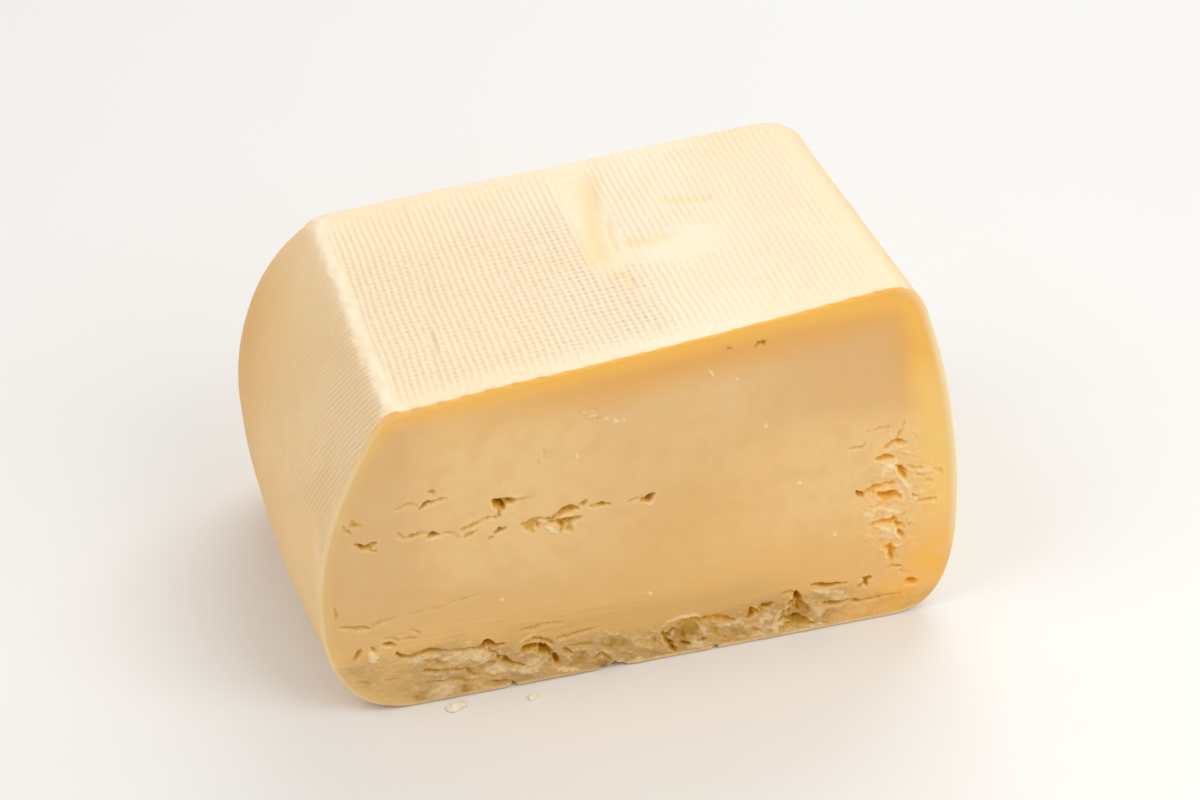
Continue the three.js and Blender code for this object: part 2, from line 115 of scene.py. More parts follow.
# Tears in the cut face, in millimetres: the depth, then the places and gapes that each runs through. Where
# the depth is negative, the curd stands out instead.
TEARS = [
    # The marks near the left rim.
    (1.4, (-59.7, 43.8, 0.5), (-58.6, 43.1, 1.2), (-57.6, 42.7, 0.8), (-56.5, 43.3, 1.2),
     (-55.8, 43.5, 0.4)),
    (0.7, (-57.6, 42.7, 0.6), (-57.0, 42.1, 0.6), (-56.0, 41.5, 0.4)),
    (0.6, (-61.8, 48.4, 0.5), (-61.2, 47.7, 1.0), (-60.8, 46.7, 0.5)),
    (0.5, (-60.2, 49.7, 0.8), (-59.8, 48.5, 1.5), (-58.6, 48.3, 1.0)),
    # The torn row left of the middle.
    (0.5, (-51.6, 50.6, 0.3), (-50.0, 50.9, 0.6), (-48.8, 51.4, 0.8), (-47.4, 50.7, 0.5)),
    (1.2, (-46.8, 49.9, 0.4), (-46.0, 50.6, 0.8), (-45.2, 51.1, 0.7), (-44.4, 50.8, 0.5),
     (-43.6, 51.0, 0.5)),
    (0.5, (-43.6, 51.0, 0.6), (-42.4, 51.3, 0.6), (-41.2, 51.1, 0.3)),
    (0.6, (-44.7, 53.4, 0.5), (-44.0, 53.4, 0.8), (-43.6, 52.7, 0.4)),
    (0.45, (-51.4, 44.9, 0.4), (-50.8, 44.0, 0.8), (-50.0, 43.3, 0.6)),
    (0.6, (-49.2, 43.3, 0.5), (-48.0, 43.6, 0.8), (-47.0, 44.0, 0.9), (-45.8, 43.8, 0.5)),
    (1.2, (-45.6, 42.5, 0.5), (-44.9, 43.0, 1.2), (-44.2, 43.1, 1.4), (-43.4, 42.8, 0.5)),
    (0.5, (-42.2, 42.9, 0.5), (-41.0, 42.7, 0.6), (-40.2, 42.9, 0.6), (-39.7, 42.2, 1.0),
     (-39.4, 41.4, 0.5)),
    (0.7, (-38.6, 43.0, 0.5), (-37.6, 43.3, 0.9), (-36.2, 43.6, 0.8), (-34.8, 43.7, 0.5)),
    (0.7, (-37.9, 41.1, 0.6), (-37.0, 41.6, 1.2), (-36.2, 42.0, 0.8), (-35.4, 42.3, 0.4)),
    (0.5, (-35.6, 43.8, 0.8), (-34.4, 44.5, 0.7), (-32.8, 44.9, 0.5), (-31.5, 44.4, 0.7)),
    (3, (-31.6, 48.7, 1.2), (-31.0, 47.9, 2.4), (-30.5, 47.1, 2.2), (-30.2, 46.3, 0.9)),
    (1.6, (-31.2, 48.7, 0.8), (-29.8, 48.2, 2.0), (-28.6, 48.0, 1.6), (-27.6, 47.7, 0.7)),
    (0.4, (-28.2, 48.0, 0.6), (-26.6, 47.8, 0.7), (-25.0, 48.1, 0.6), (-23.8, 48.2, 0.3)),
    (0.9, (-30.8, 46.1, 0.6), (-30.9, 44.7, 0.4)),
    (2, (-31.8, 40.9, 0.5), (-31.0, 41.4, 1.2), (-30.2, 41.3, 0.6), (-29.8, 41.8, 0.4)),
    (0.8, (-33.3, 39.7, 0.4), (-32.8, 39.9, 0.8), (-32.4, 40.2, 0.4)),
    (0.9, (-25.6, 41.7, 0.5), (-24.6, 42.4, 0.7), (-23.6, 42.6, 0.6), (-22.0, 42.3, 0.5),
     (-20.4, 41.8, 0.6)),
    (1.5, (-20.8, 41.3, 0.6), (-19.4, 42.3, 1.1), (-18.3, 43.1, 1.4), (-17.2, 43.6, 1.9),
     (-16.0, 43.6, 1.9), (-15.2, 43.4, 1.3), (-14.8, 43.0, 0.4)),
    (0.9, (-14.4, 43.9, 0.5), (-13.8, 44.0, 0.8), (-13.0, 44.7, 0.5)),
    (0.8, (-21.6, 40.9, 0.5), (-20.4, 41.0, 0.7), (-19.2, 40.8, 0.5)),
    (1.7, (-19.0, 41.1, 0.7), (-18.4, 40.4, 1.1), (-18.1, 39.5, 0.9), (-18.4, 38.4, 0.5)),
    (1.6, (-18.6, 40.7, 1.2), (-17.2, 40.7, 2.0), (-15.8, 40.8, 1.2), (-14.2, 41.0, 0.4)),
    (0.9, (-17.4, 40.3, 2.6), (-17.0, 39.1, 2.0), (-16.4, 38.2, 1.0)),
    (1.1, (-12.2, 43.2, 0.5), (-11.0, 43.3, 0.8), (-9.6, 43.2, 0.7), (-8.2, 43.0, 0.4)),
    (0.6, (-4.4, 42.8, 0.4), (-3.0, 43.0, 0.6), (-1.6, 43.3, 0.4)),
    (2.6, (-1.4, 42.5, 0.8), (-0.4, 42.7, 1.7), (0.2, 43.2, 1.4), (0.8, 43.7, 0.6)),
    # The cluster near the right rind.
    (0.4, (46.2, 49.7, 0.3), (48.4, 50.0, 0.6), (50.6, 50.1, 0.3)),
    (0.4, (42.6, 46.4, 0.4), (44.2, 46.2, 0.5), (45.6, 46.5, 0.5), (46.0, 47.3, 0.3)),
    (1.7, (50.6, 44.9, 0.5), (51.0, 45.6, 0.8), (51.8, 46.2, 1.0), (52.8, 46.3, 1.0), (53.6, 45.7, 1.3),
     (54.7, 45.4, 0.7)),
    (0.5, (52.8, 46.9, 0.6), (53.2, 47.9, 0.9), (53.8, 48.9, 0.6), (54.2, 50.9, 0.4)),
    (1.8, (48.8, 42.5, 0.8), (50.0, 42.5, 1.5), (51.2, 42.5, 1.2), (52.2, 42.2, 0.7)),
    (2, (53.0, 40.3, 0.6), (53.8, 39.7, 0.9), (54.3, 38.9, 1.6), (54.8, 37.9, 1.6), (55.2, 36.9, 1.0),
     (55.5, 36.1, 0.4)),
    (0.7, (55.6, 39.5, 0.6), (57.0, 38.7, 0.5), (58.8, 38.2, 0.4)),
    (0.5, (58.2, 36.9, 0.5), (59.4, 36.4, 0.7), (60.8, 36.7, 0.4)),
    (0.4, (61.4, 37.7, 0.5), (62.8, 37.1, 0.6), (63.6, 35.9, 0.4)),
    (0.6, (59.2, 34.5, 0.5), (60.3, 34.8, 1.0), (61.4, 34.3, 0.5)),
    (2.6, (44.8, 35.0, 0.5), (45.5, 34.3, 1.5), (46.3, 33.5, 0.8)),
    (1.7, (46.2, 34.1, 0.6), (47.0, 34.5, 1.2), (48.0, 34.9, 1.6), (48.8, 35.4, 1.5), (49.8, 35.2, 0.9),
     (51.4, 35.5, 0.7), (53.0, 35.5, 0.4)),
    (0.9, (46.6, 33.8, 0.5), (47.6, 33.6, 0.9), (48.6, 33.9, 0.5)),
    (2.8, (49.8, 33.5, 0.7), (50.8, 32.9, 1.9), (52.2, 32.7, 2.6), (53.3, 32.6, 2.0), (54.4, 31.7, 0.6)),
    (1, (52.0, 31.9, 1.2), (51.4, 31.1, 1.0), (50.8, 30.5, 0.5)),
    (0.6, (47.8, 30.5, 0.4), (49.2, 30.1, 0.9), (50.6, 30.5, 0.5)),
    (0.9, (57.2, 31.9, 0.4), (57.8, 31.3, 0.8), (58.4, 30.9, 0.4)),
    (0.8, (58.6, 29.7, 0.6), (60.4, 29.7, 1.1), (62.6, 29.5, 0.6)),
    (2, (48.4, 25.7, 0.4), (49.8, 25.8, 0.8), (51.4, 26.1, 1.1), (52.6, 25.8, 1.0), (53.6, 26.0, 1.5),
     (54.1, 25.4, 0.7)),
    (0.6, (53.4, 27.1, 0.4), (54.8, 26.9, 0.6), (56.2, 27.3, 0.4)),
    (1.7, (54.2, 24.9, 0.8), (55.0, 24.3, 1.3), (55.7, 23.7, 1.2), (56.3, 23.2, 0.4)),
    (1.7, (54.9, 22.9, 0.6), (55.5, 22.1, 1.2), (56.1, 21.1, 0.5)),
    (0.6, (56.2, 24.5, 0.7), (57.0, 24.1, 1.5), (57.8, 23.7, 0.6)),
    (1.8, (52.2, 19.1, 0.8), (53.2, 18.8, 1.6), (53.8, 17.9, 1.6), (53.6, 16.7, 1.2), (53.6, 15.7, 1.0),
     (53.7, 15.1, 0.3)),
    (1.2, (53.6, 13.6, 0.6), (54.4, 13.6, 0.9), (55.8, 13.2, 0.4)),
    (0.4, (55.8, 12.0, 0.4), (56.8, 11.4, 0.7), (58.0, 11.1, 0.3)),
    (1.7, (58.0, 8.7, 1.4), (58.8, 8.5, 1.9), (59.6, 8.2, 1.2)),
    # The crumbly strip along the foot, from the left.
    (1.1, (-61.5, 15.1, 0.6), (-60.8, 16.1, 1.0), (-60.2, 17.1, 0.5)),
    (0.8, (-58.0, 17.1, 0.4), (-57.5, 16.7, 0.9), (-57.0, 16.3, 0.4)),
    (1.1, (-55.4, 17.8, 0.6), (-54.4, 17.4, 1.1), (-53.2, 17.0, 0.6)),
    (0.3, (-55.2, 18.9, 0.4), (-53.6, 19.0, 0.5), (-52.4, 17.9, 0.4)),
    (1.7, (-52.7, 14.7, 0.5), (-51.8, 13.7, 0.9), (-50.4, 13.3, 0.9), (-48.6, 13.4, 0.7),
     (-47.2, 13.8, 1.0), (-45.8, 13.9, 1.1), (-44.4, 13.6, 0.8), (-43.4, 13.4, 0.3)),
    (0.7, (-43.2, 13.1, 0.4), (-41.6, 12.7, 0.6), (-39.6, 12.6, 0.9), (-38.0, 12.6, 0.8),
     (-36.4, 12.1, 0.5)),
    (0.8, (-47.2, 11.5, 0.6), (-46.0, 10.9, 1.2), (-44.4, 10.3, 0.9), (-41.6, 9.9, 0.4)),
    (1.2, (-47.4, 8.9, 0.5), (-46.2, 8.5, 0.7), (-44.6, 8.1, 0.6), (-42.6, 7.8, 0.5), (-40.6, 7.5, 0.8),
     (-39.2, 7.7, 0.5), (-38.4, 7.5, 0.5), (-38.0, 6.7, 0.9), (-37.8, 5.7, 0.6)),
    (0.8, (-47.0, 5.6, 0.4), (-44.6, 5.4, 0.5), (-42.2, 5.2, 0.6), (-40.0, 4.8, 0.8), (-38.8, 3.9, 0.6)),
    (0.4, (-55.6, 8.2, 0.4), (-54.4, 8.0, 0.6), (-53.0, 8.4, 0.3)),
    (0.4, (-60.6, 8.9, 0.5), (-59.8, 8.6, 0.7), (-59.0, 8.1, 0.4)),
    (0.6, (-63.6, 24.1, 0.5), (-60.8, 23.1, 0.9), (-58.8, 22.8, 1.0), (-57.6, 22.4, 0.4)),
    (0.4, (-57.4, 23.1, 0.4), (-55.6, 23.6, 0.6), (-52.6, 24.2, 0.3)),
    (0.2, (-50.0, 24.2, 0.3), (-44.6, 24.6, 0.5), (-41.6, 25.0, 0.3)),
    (0.3, (-42.0, 25.1, 0.3), (-38.6, 25.9, 0.6), (-34.4, 26.1, 0.3)),
    (0.2, (-27.2, 27.4, 0.3), (-26.0, 27.0, 0.5), (-24.4, 26.5, 0.3)),
    (0.4, (-49.8, 20.2, 0.3), (-48.8, 19.8, 0.7), (-48.0, 19.0, 0.4)),
    (0.4, (-51.6, 18.2, 0.4), (-50.2, 18.0, 0.6), (-48.8, 17.8, 0.3)),
    (0.5, (-64.7, 29.0, 0.4), (-64.5, 27.6, 0.8), (-64.6, 26.2, 0.4)),
    (3.2, (-35.8, 12.1, 0.8), (-34.8, 12.7, 1.4), (-34.1, 13.2, 2.4), (-33.3, 12.7, 1.7),
     (-32.4, 12.3, 0.9), (-30.8, 12.1, 0.4)),
    (0.9, (-33.8, 11.5, 0.5), (-33.0, 10.4, 0.8), (-32.0, 9.7, 0.5)),
    (2, (-32.2, 9.1, 0.7), (-31.0, 8.3, 1.8), (-30.0, 7.3, 1.6), (-29.2, 6.6, 0.8), (-28.0, 6.1, 0.5),
     (-26.6, 5.4, 0.4)),
    (2.3, (-27.0, 9.1, 0.8), (-26.0, 9.9, 1.7), (-24.8, 10.1, 1.8), (-23.8, 9.7, 1.0)),
    (3.2, (-24.8, 10.2, 1.0), (-23.6, 9.9, 1.9), (-22.6, 9.2, 2.2), (-21.6, 8.4, 2.0), (-20.9, 7.5, 1.3),
     (-20.5, 6.6, 0.6)),
    (2.4, (-23.8, 8.5, 0.8), (-22.8, 8.1, 1.6), (-21.8, 7.5, 1.2)),
    (1, (-25.8, 11.5, 0.4), (-24.4, 12.0, 0.6), (-23.0, 11.7, 0.7), (-21.8, 10.8, 1.0), (-20.8, 10.3, 1.0),
     (-20.2, 9.8, 0.4)),
    (1.8, (-21.0, 5.4, 0.5), (-20.2, 5.4, 0.8), (-19.6, 5.9, 1.2)),
    (2.8, (-19.7, 6.8, 0.7), (-19.6, 5.7, 1.3), (-19.4, 4.5, 1.0)),
    (0.6, (-26.8, 14.7, 0.8), (-24.4, 14.9, 0.8), (-21.6, 15.3, 0.5), (-18.6, 14.9, 0.3)),
    (0.7, (-19.6, 10.8, 0.4), (-17.4, 10.9, 0.7), (-15.6, 11.3, 0.6), (-13.6, 11.6, 0.6),
     (-11.6, 11.8, 0.3)),
    (1, (-18.0, 7.7, 0.7), (-17.2, 7.1, 1.0), (-16.2, 6.3, 0.5)),
    (0.8, (-17.2, 8.3, 0.4), (-14.6, 8.1, 0.8), (-12.2, 7.9, 0.4)),
    (0.9, (-36.3, 6.3, 0.5), (-35.6, 6.9, 0.9), (-34.6, 7.1, 0.5), (-33.0, 7.8, 0.9), (-32.0, 8.0, 0.4)),
    (1, (-38.4, 5.4, 0.8), (-37.2, 5.5, 1.1), (-36.0, 5.3, 0.4)),
    (0.6, (-33.6, 2.7, 0.5), (-31.6, 2.3, 0.9), (-30.0, 1.9, 1.0), (-28.2, 1.2, 0.4)),
    (1, (-11.6, 3.5, 0.5), (-10.7, 4.3, 0.9), (-9.8, 4.8, 0.5)),
    (1, (-9.5, 4.3, 0.5), (-8.7, 3.4, 0.9), (-7.8, 2.5, 0.5)),
    (0.8, (0.6, 6.2, 0.5), (1.5, 6.2, 0.8), (1.3, 5.3, 1.6), (0.9, 4.4, 0.8)),
    (1.9, (3.2, 7.3, 0.5), (4.4, 6.4, 1.3), (3.9, 5.2, 0.8), (5.1, 4.2, 1.1), (5.1, 3.0, 0.8),
     (6.0, 2.2, 1.1), (6.4, 1.1, 0.3)),
    (0.8, (4.4, 6.9, 0.4), (5.6, 7.8, 0.6), (6.2, 7.4, 0.3)),
    (1, (6.6, 8.5, 0.6), (7.8, 9.4, 0.9), (9.6, 9.6, 0.9), (11.0, 9.0, 0.8), (11.6, 7.9, 0.4)),
    (0.7, (6.6, 7.3, 1.2), (7.2, 6.3, 2.6), (7.6, 5.1, 2.6), (8.0, 4.3, 1.2)),
    (2.4, (7.8, 3.5, 0.8), (8.4, 3.1, 1.5), (9.1, 2.9, 0.9)),
    (1.3, (6.6, 6.6, 0.5), (7.6, 5.8, 1.4), (8.2, 4.9, 0.6)),
    (1.3, (11.2, 3.5, 0.5), (12.2, 3.3, 1.0), (12.9, 3.2, 0.4)),
    (1.1, (11.8, 8.8, 1.2), (13.8, 8.8, 1.9), (15.8, 8.4, 1.7), (17.6, 7.7, 1.4), (18.8, 7.2, 0.5)),
    (0.9, (14.2, 5.9, 0.6), (14.7, 5.1, 1.2), (14.9, 4.3, 0.5)),
    (1.9, (22.5, 6.7, 0.5), (22.9, 7.7, 1.2), (23.1, 8.5, 1.3), (22.6, 9.1, 0.5)),
    (1.1, (23.3, 8.4, 0.7), (24.4, 7.9, 0.7), (25.3, 8.3, 0.4)),
    (2.8, (24.4, 9.0, 0.5), (25.4, 9.3, 1.4), (26.4, 9.2, 1.6), (27.2, 9.6, 0.7)),
    (0.6, (20.8, 3.0, 0.3), (21.9, 2.2, 0.7), (22.4, 2.0, 0.3)),
    (0.8, (23.0, 3.8, 0.5), (23.8, 3.3, 0.9), (24.6, 3.0, 0.4)),
    (0.5, (28.6, 11.2, 0.4), (30.0, 11.7, 0.9), (31.8, 11.7, 0.5)),
    (2.9, (32.5, 11.5, 0.4), (32.9, 10.4, 1.7), (33.5, 9.2, 1.2)),
    (2.2, (31.1, 8.4, 0.6), (31.8, 8.9, 1.3), (32.3, 9.2, 0.5)),
    (1.6, (29.8, 6.3, 0.8), (30.4, 6.6, 1.1), (31.2, 7.3, 0.6)),
    (2, (30.8, 4.9, 0.6), (31.5, 4.5, 1.3), (31.9, 4.0, 0.5)),
    (1.1, (28.6, 4.5, 0.5), (29.3, 4.9, 0.9), (30.0, 5.3, 0.5)),
    (1.2, (30.6, 3.1, 0.7), (31.2, 2.8, 1.3), (31.8, 2.4, 0.6)),
    (1.9, (32.2, 4.9, 1.8), (33.2, 4.1, 2.9), (34.2, 3.4, 2.3), (35.4, 2.6, 1.2), (37.0, 1.8, 0.4)),
    (1.4, (32.2, 8.5, 1.6), (33.2, 7.7, 3.2), (34.4, 6.7, 3.0), (35.6, 5.7, 1.2)),
    (1.7, (36.0, 12.4, 0.4), (37.2, 12.4, 0.9), (38.4, 11.9, 1.2), (39.4, 11.5, 1.0), (41.4, 11.5, 0.8),
     (43.8, 11.2, 0.3)),
    (0.9, (38.8, 7.1, 0.4), (40.0, 6.6, 0.8), (42.4, 6.4, 0.8), (44.8, 6.7, 0.4)),
    (0.9, (45.6, 6.5, 0.5), (46.8, 5.8, 0.7), (48.4, 5.7, 0.5), (52.4, 5.9, 0.4), (56.2, 5.8, 0.3)),
    (0.8, (46.6, 9.9, 0.5), (47.1, 9.8, 0.9), (47.7, 10.3, 0.5)),
    (1.9, (47.6, 11.8, 0.5), (48.5, 11.4, 1.5), (49.2, 11.6, 0.5)),
    (1.5, (48.5, 11.1, 1.2), (48.4, 10.3, 1.0), (48.6, 9.5, 0.5)),
    # Faint marks high on the smooth face.
    (0.3, (-13.4, 64.4, 0.4), (-12.0, 64.5, 0.7), (-10.8, 64.7, 0.4)),
    (0.25, (-12.4, 66.7, 0.4), (-11.2, 66.5, 0.5), (-10.4, 65.9, 0.3)),
    (0.25, (-15.4, 66.5, 0.3), (-14.2, 65.9, 0.6), (-13.2, 65.7, 0.3)),
    (0.25, (-21.8, 59.4, 0.3), (-21.5, 58.4, 0.6), (-21.4, 57.8, 0.3)),
    (0.25, (-23.0, 56.5, 0.3), (-22.6, 55.9, 0.6), (-22.4, 55.5, 0.3)),
    (0.2, (-8.4, 60.3, 0.3), (-7.4, 60.1, 0.5), (-6.4, 60.4, 0.3)),
    # Raised edges and bands, painted pale: partly whitish curd, partly painted highlight on the ridges.
    (-0.12, (-46.6, 51.4, 0.4), (-45.3, 52.0, 0.6), (-44.2, 51.6, 0.4)),
    (-0.15, (-46.0, 49.7, 0.4), (-45.0, 49.8, 0.8), (-43.8, 49.4, 0.4)),
    (-0.12, (-58.6, 42.1, 0.4), (-57.2, 41.5, 0.8), (-56.2, 41.0, 0.4)),
    (-0.15, (-46.0, 41.9, 0.4), (-44.6, 42.0, 0.9), (-42.4, 41.9, 0.6)),
    (-0.1, (-31.9, 49.4, 0.4), (-30.0, 49.5, 0.5), (-27.6, 48.9, 0.7), (-25.8, 48.4, 0.3)),
    (-0.1, (-32.0, 48.3, 0.4), (-31.8, 46.7, 0.5), (-31.2, 45.9, 0.3)),
    (-0.35, (-21.6, 40.1, 0.5), (-20.4, 39.3, 1.4), (-19.2, 38.3, 1.0)),
    (-0.2, (-19.2, 42.0, 0.4), (-18.5, 42.5, 0.7), (-18.0, 42.8, 0.3)),
    (-0.2, (-15.8, 40.5, 0.4), (-15.4, 39.3, 0.9), (-15.1, 38.1, 0.4)),
    (-0.2, (51.4, 49.7, 0.4), (51.2, 48.1, 0.7), (51.8, 47.1, 0.5)),
    (-0.15, (48.8, 43.8, 0.4), (51.0, 43.8, 0.7), (52.0, 44.1, 0.4)),
    (-0.2, (51.8, 44.7, 0.4), (53.4, 44.4, 0.8), (55.0, 44.4, 0.4)),
    (-0.35, (52.6, 41.5, 0.5), (53.2, 39.1, 1.2), (54.2, 36.9, 1.2), (55.4, 34.9, 1.3), (56.8, 32.7, 1.1),
     (58.0, 30.9, 0.8), (59.0, 29.1, 0.4)),
    (-0.2, (49.8, 34.4, 0.4), (51.2, 34.1, 0.9), (52.8, 34.4, 0.4)),
    (-0.2, (54.0, 33.1, 0.4), (55.0, 32.7, 0.9), (55.2, 31.5, 0.4)),
    (-0.3, (51.0, 29.1, 0.6), (52.2, 28.7, 1.2), (54.0, 27.7, 0.8), (55.4, 27.9, 0.4)),
    (-0.15, (47.8, 26.9, 0.4), (50.0, 26.9, 0.8), (52.4, 26.9, 0.4)),
    (-0.4, (49.0, 25.1, 0.4), (50.8, 24.7, 1.2), (52.8, 23.7, 1.6), (54.2, 22.3, 1.6), (55.2, 20.9, 0.8)),
    (-0.2, (51.8, 19.7, 0.4), (52.2, 18.1, 0.7), (52.6, 16.1, 0.5)),
    (-0.3, (-52.5, 12.6, 0.5), (-50.6, 12.1, 1.0), (-47.6, 11.9, 1.0), (-46.2, 12.4, 1.5),
     (-44.2, 12.2, 1.2)),
    (-0.2, (-47.0, 7.8, 0.4), (-45.2, 7.4, 0.7), (-43.0, 7.0, 0.5)),
    (-0.2, (-46.6, 9.8, 0.4), (-44.2, 9.1, 0.7), (-41.4, 8.7, 0.4)),
    (-0.15, (-28.6, 10.1, 0.5), (-27.5, 11.7, 0.7), (-25.8, 12.7, 0.8), (-24.0, 13.2, 0.6),
     (-22.2, 12.7, 0.4)),
    (-0.3, (-33.2, 8.8, 0.5), (-32.4, 9.3, 1.2), (-31.8, 10.1, 0.5)),
    (-0.35, (-18.2, 6.5, 0.4), (-17.4, 5.6, 1.1), (-16.6, 4.4, 0.4)),
    (-0.25, (-16.2, 7.1, 0.5), (-14.2, 7.0, 1.0), (-12.0, 6.7, 0.5)),
    (-0.2, (-11.8, 5.9, 0.3), (-11.2, 5.4, 0.8), (-10.0, 5.7, 0.4)),
    (-0.25, (-9.4, 5.7, 0.4), (-8.4, 4.7, 0.7), (-7.2, 3.7, 0.4)),
    (-0.2, (-9.2, 10.5, 0.4), (-7.8, 9.7, 0.8), (-6.2, 9.1, 0.4)),
    (-0.25, (2.6, 8.5, 0.5), (4.2, 9.9, 0.8), (6.8, 10.5, 0.9), (9.8, 10.4, 0.9), (11.8, 9.8, 0.6)),
    (-0.2, (3.0, 6.5, 0.4), (3.6, 5.3, 0.7), (3.4, 3.9, 0.4)),
    (-0.4, (14.6, 6.6, 0.4), (16.2, 6.2, 1.2), (18.2, 6.4, 0.6)),
    (-0.3, (11.2, 7.3, 0.6), (12.0, 6.1, 1.8), (12.6, 4.7, 1.2)),
    (-0.3, (27.2, 8.1, 0.4), (28.0, 7.1, 1.0), (29.0, 6.0, 0.7)),
    (-0.3, (30.0, 7.5, 0.5), (30.8, 7.7, 0.9), (31.3, 7.9, 0.3)),
    (-0.25, (35.3, 4.4, 0.4), (36.0, 3.5, 0.8), (37.0, 2.5, 0.3)),
    (-0.35, (35.6, 11.1, 0.5), (37.8, 10.4, 1.3), (40.4, 9.7, 1.6), (43.0, 9.1, 0.8)),
    (-0.2, (38.8, 5.8, 0.4), (41.8, 5.5, 0.8), (45.0, 5.7, 0.4)),
]

# A round spot on the cut, in millimetres, with its tilt in degrees and its depth or rise.
Spot = namedtuple("Spot", "x z width height tilt depth", defaults=(0, 0))


def spot_table(*rows):
    """Spots from rows of numbers."""
    return [Spot(*row) for row in rows]


HOLLOWS = spot_table(
    # Two marks close under the top.
    (22.5, 75.3, 2.7, 1.2, 14, 1.4),
    (15.9, 75.4, 1.5, 0.8, 0, 0.8),
    # The large hollow right of the middle of the foot.
    (9.0, 6.8, 5.4, 5.6, 0, 1.2),
    # The shallow, round opening in the torn row.
    (-24.6, 40.9, 4.2, 3.8, 0, 1.25),
    # Nicks in the bottom edge.
    (-29.0, -0.2, 3.0, 2.8, 0, 3.4),
    (-7.4, -0.5, 7.6, 3.8, 0, 4.0),
    (15.5, -0.4, 3.2, 2.4, 0, 2.6),
)
# Lumps of whitish curd that stand out of the cut.
CURDS = spot_table(
    (32.1, 39.9, 1.4, 1.2, 0, 0.15), (40.2, 24.7, 1.3, 1.2, 0, 0.2), (-30.6, 23.8, 1.2, 1.0, 0, 0.15),
    (-11.8, 65.1, 2.4, 0.7, -20, 0.1), (-7.0, 63.0, 0.9, 0.8, 0, 0.1), (-5.4, 62.8, 0.8, 0.8, 0, 0.1),
    (-9.0, 63.9, 1.2, 0.6, -10, 0.1), (-13.4, 66.0, 1.0, 0.6, 20, 0.1), (12.6, 70.4, 0.6, 2.2, 20, 0.1),
    (17.8, 68.0, 0.8, 0.7, 0, 0.1), (0.6, 18.4, 0.8, 1.4, 10, 0.1), (-15.0, 55.9, 0.8, 2.0, 20, 0.1),
    (24.2, 55.6, 0.8, 1.6, 10, 0.1), (-57.8, 15.0, 2.2, 3.8, 14, 0.35), (-43.4, 2.8, 7.2, 4.8, 2, 0.35),
    (-48.0, 12.0, 7.0, 1.6, 2, 0.2), (-40.6, 10.6, 7.6, 2.8, -4, 0.3), (-35.6, 9.4, 5.6, 3.4, -8, 0.35),
    (-32.4, 5.8, 5.0, 3.0, -14, 0.35), (-26.4, 3.8, 7.4, 2.2, -24, 0.3), (-24.2, 5.4, 5.2, 3.8, 0, 0.25),
    (-17.0, 2.0, 6.0, 1.4, -6, 0.2), (-6.2, 1.6, 3.4, 1.8, -10, 0.2), (-1.8, 1.2, 3.2, 1.4, 0, 0.2),
    (5.2, 6.1, 1.6, 1.8, 0, 0.2), (20.0, 6.0, 3.0, 2.2, -30, 0.2), (25.6, 6.0, 3.6, 3.0, 0, 0.2),
    (28.6, 4.4, 3.0, 5.6, -20, 0.3), (37.6, 1.2, 9.0, 1.2, 2, 0.2), (51.6, 39.4, 3.0, 4.0, -30, 0.15),
    (47.8, 28.4, 3.0, 2.2, 0, 0.15),
)
# Glassy, darker patches of the strip along the foot.
GLASSY = spot_table(
    (-48.6, 2.2, 2.4, 2.8), (-38.6, 2.2, 2.2, 4.0), (-32.0, 2.4, 5.0, 2.0, -12), (-9.6, 1.8, 4.6, 3.0),
    (-14.6, 4.6, 3.6, 5.0, -30), (-6.6, 7.0, 8.0, 4.0, -10), (8.2, 5.4, 7.4, 6.4),
    (20.4, 4.2, 6.0, 3.0, -24), (33.6, 5.4, 5.4, 8.4, 6), (39.4, 3.8, 3.4, 2.4),
)
# Places where the smooth cut is scuffed.
SCUFFS = spot_table(
    (-12.4, 65.4, 9.0, 5.0, -20), (-6.6, 62.6, 7.0, 5.0), (-22.6, 57.6, 5.0, 7.0),
    (-15.0, 55.4, 4.0, 5.0, 20), (14.0, 70.0, 6.0, 11.0, 20), (18.4, 67.6, 5.0, 5.0),
    (14.4, 54.6, 8.0, 5.0), (24.8, 55.4, 4.6, 5.0), (-36.8, 36.4, 4.0, 6.0), (-19.4, 36.0, 7.0, 6.0),
    (-61.0, 33.0, 4.0, 9.0), (-50.0, 48.0, 8.0, 5.0), (-47.0, 42.8, 12.0, 5.0), (-36.0, 42.6, 9.0, 6.0),
    (-29.0, 44.0, 9.0, 9.0), (-18.0, 40.4, 13.0, 10.0), (-58.0, 45.0, 7.0, 13.0), (-50.0, 19.4, 9.0, 5.0),
    (40.6, 38.0, 8.0, 9.0), (45.6, 47.0, 8.0, 6.0), (46.0, 24.0, 6.0, 12.0), (59.0, 24.0, 8.0, 14.0),
)

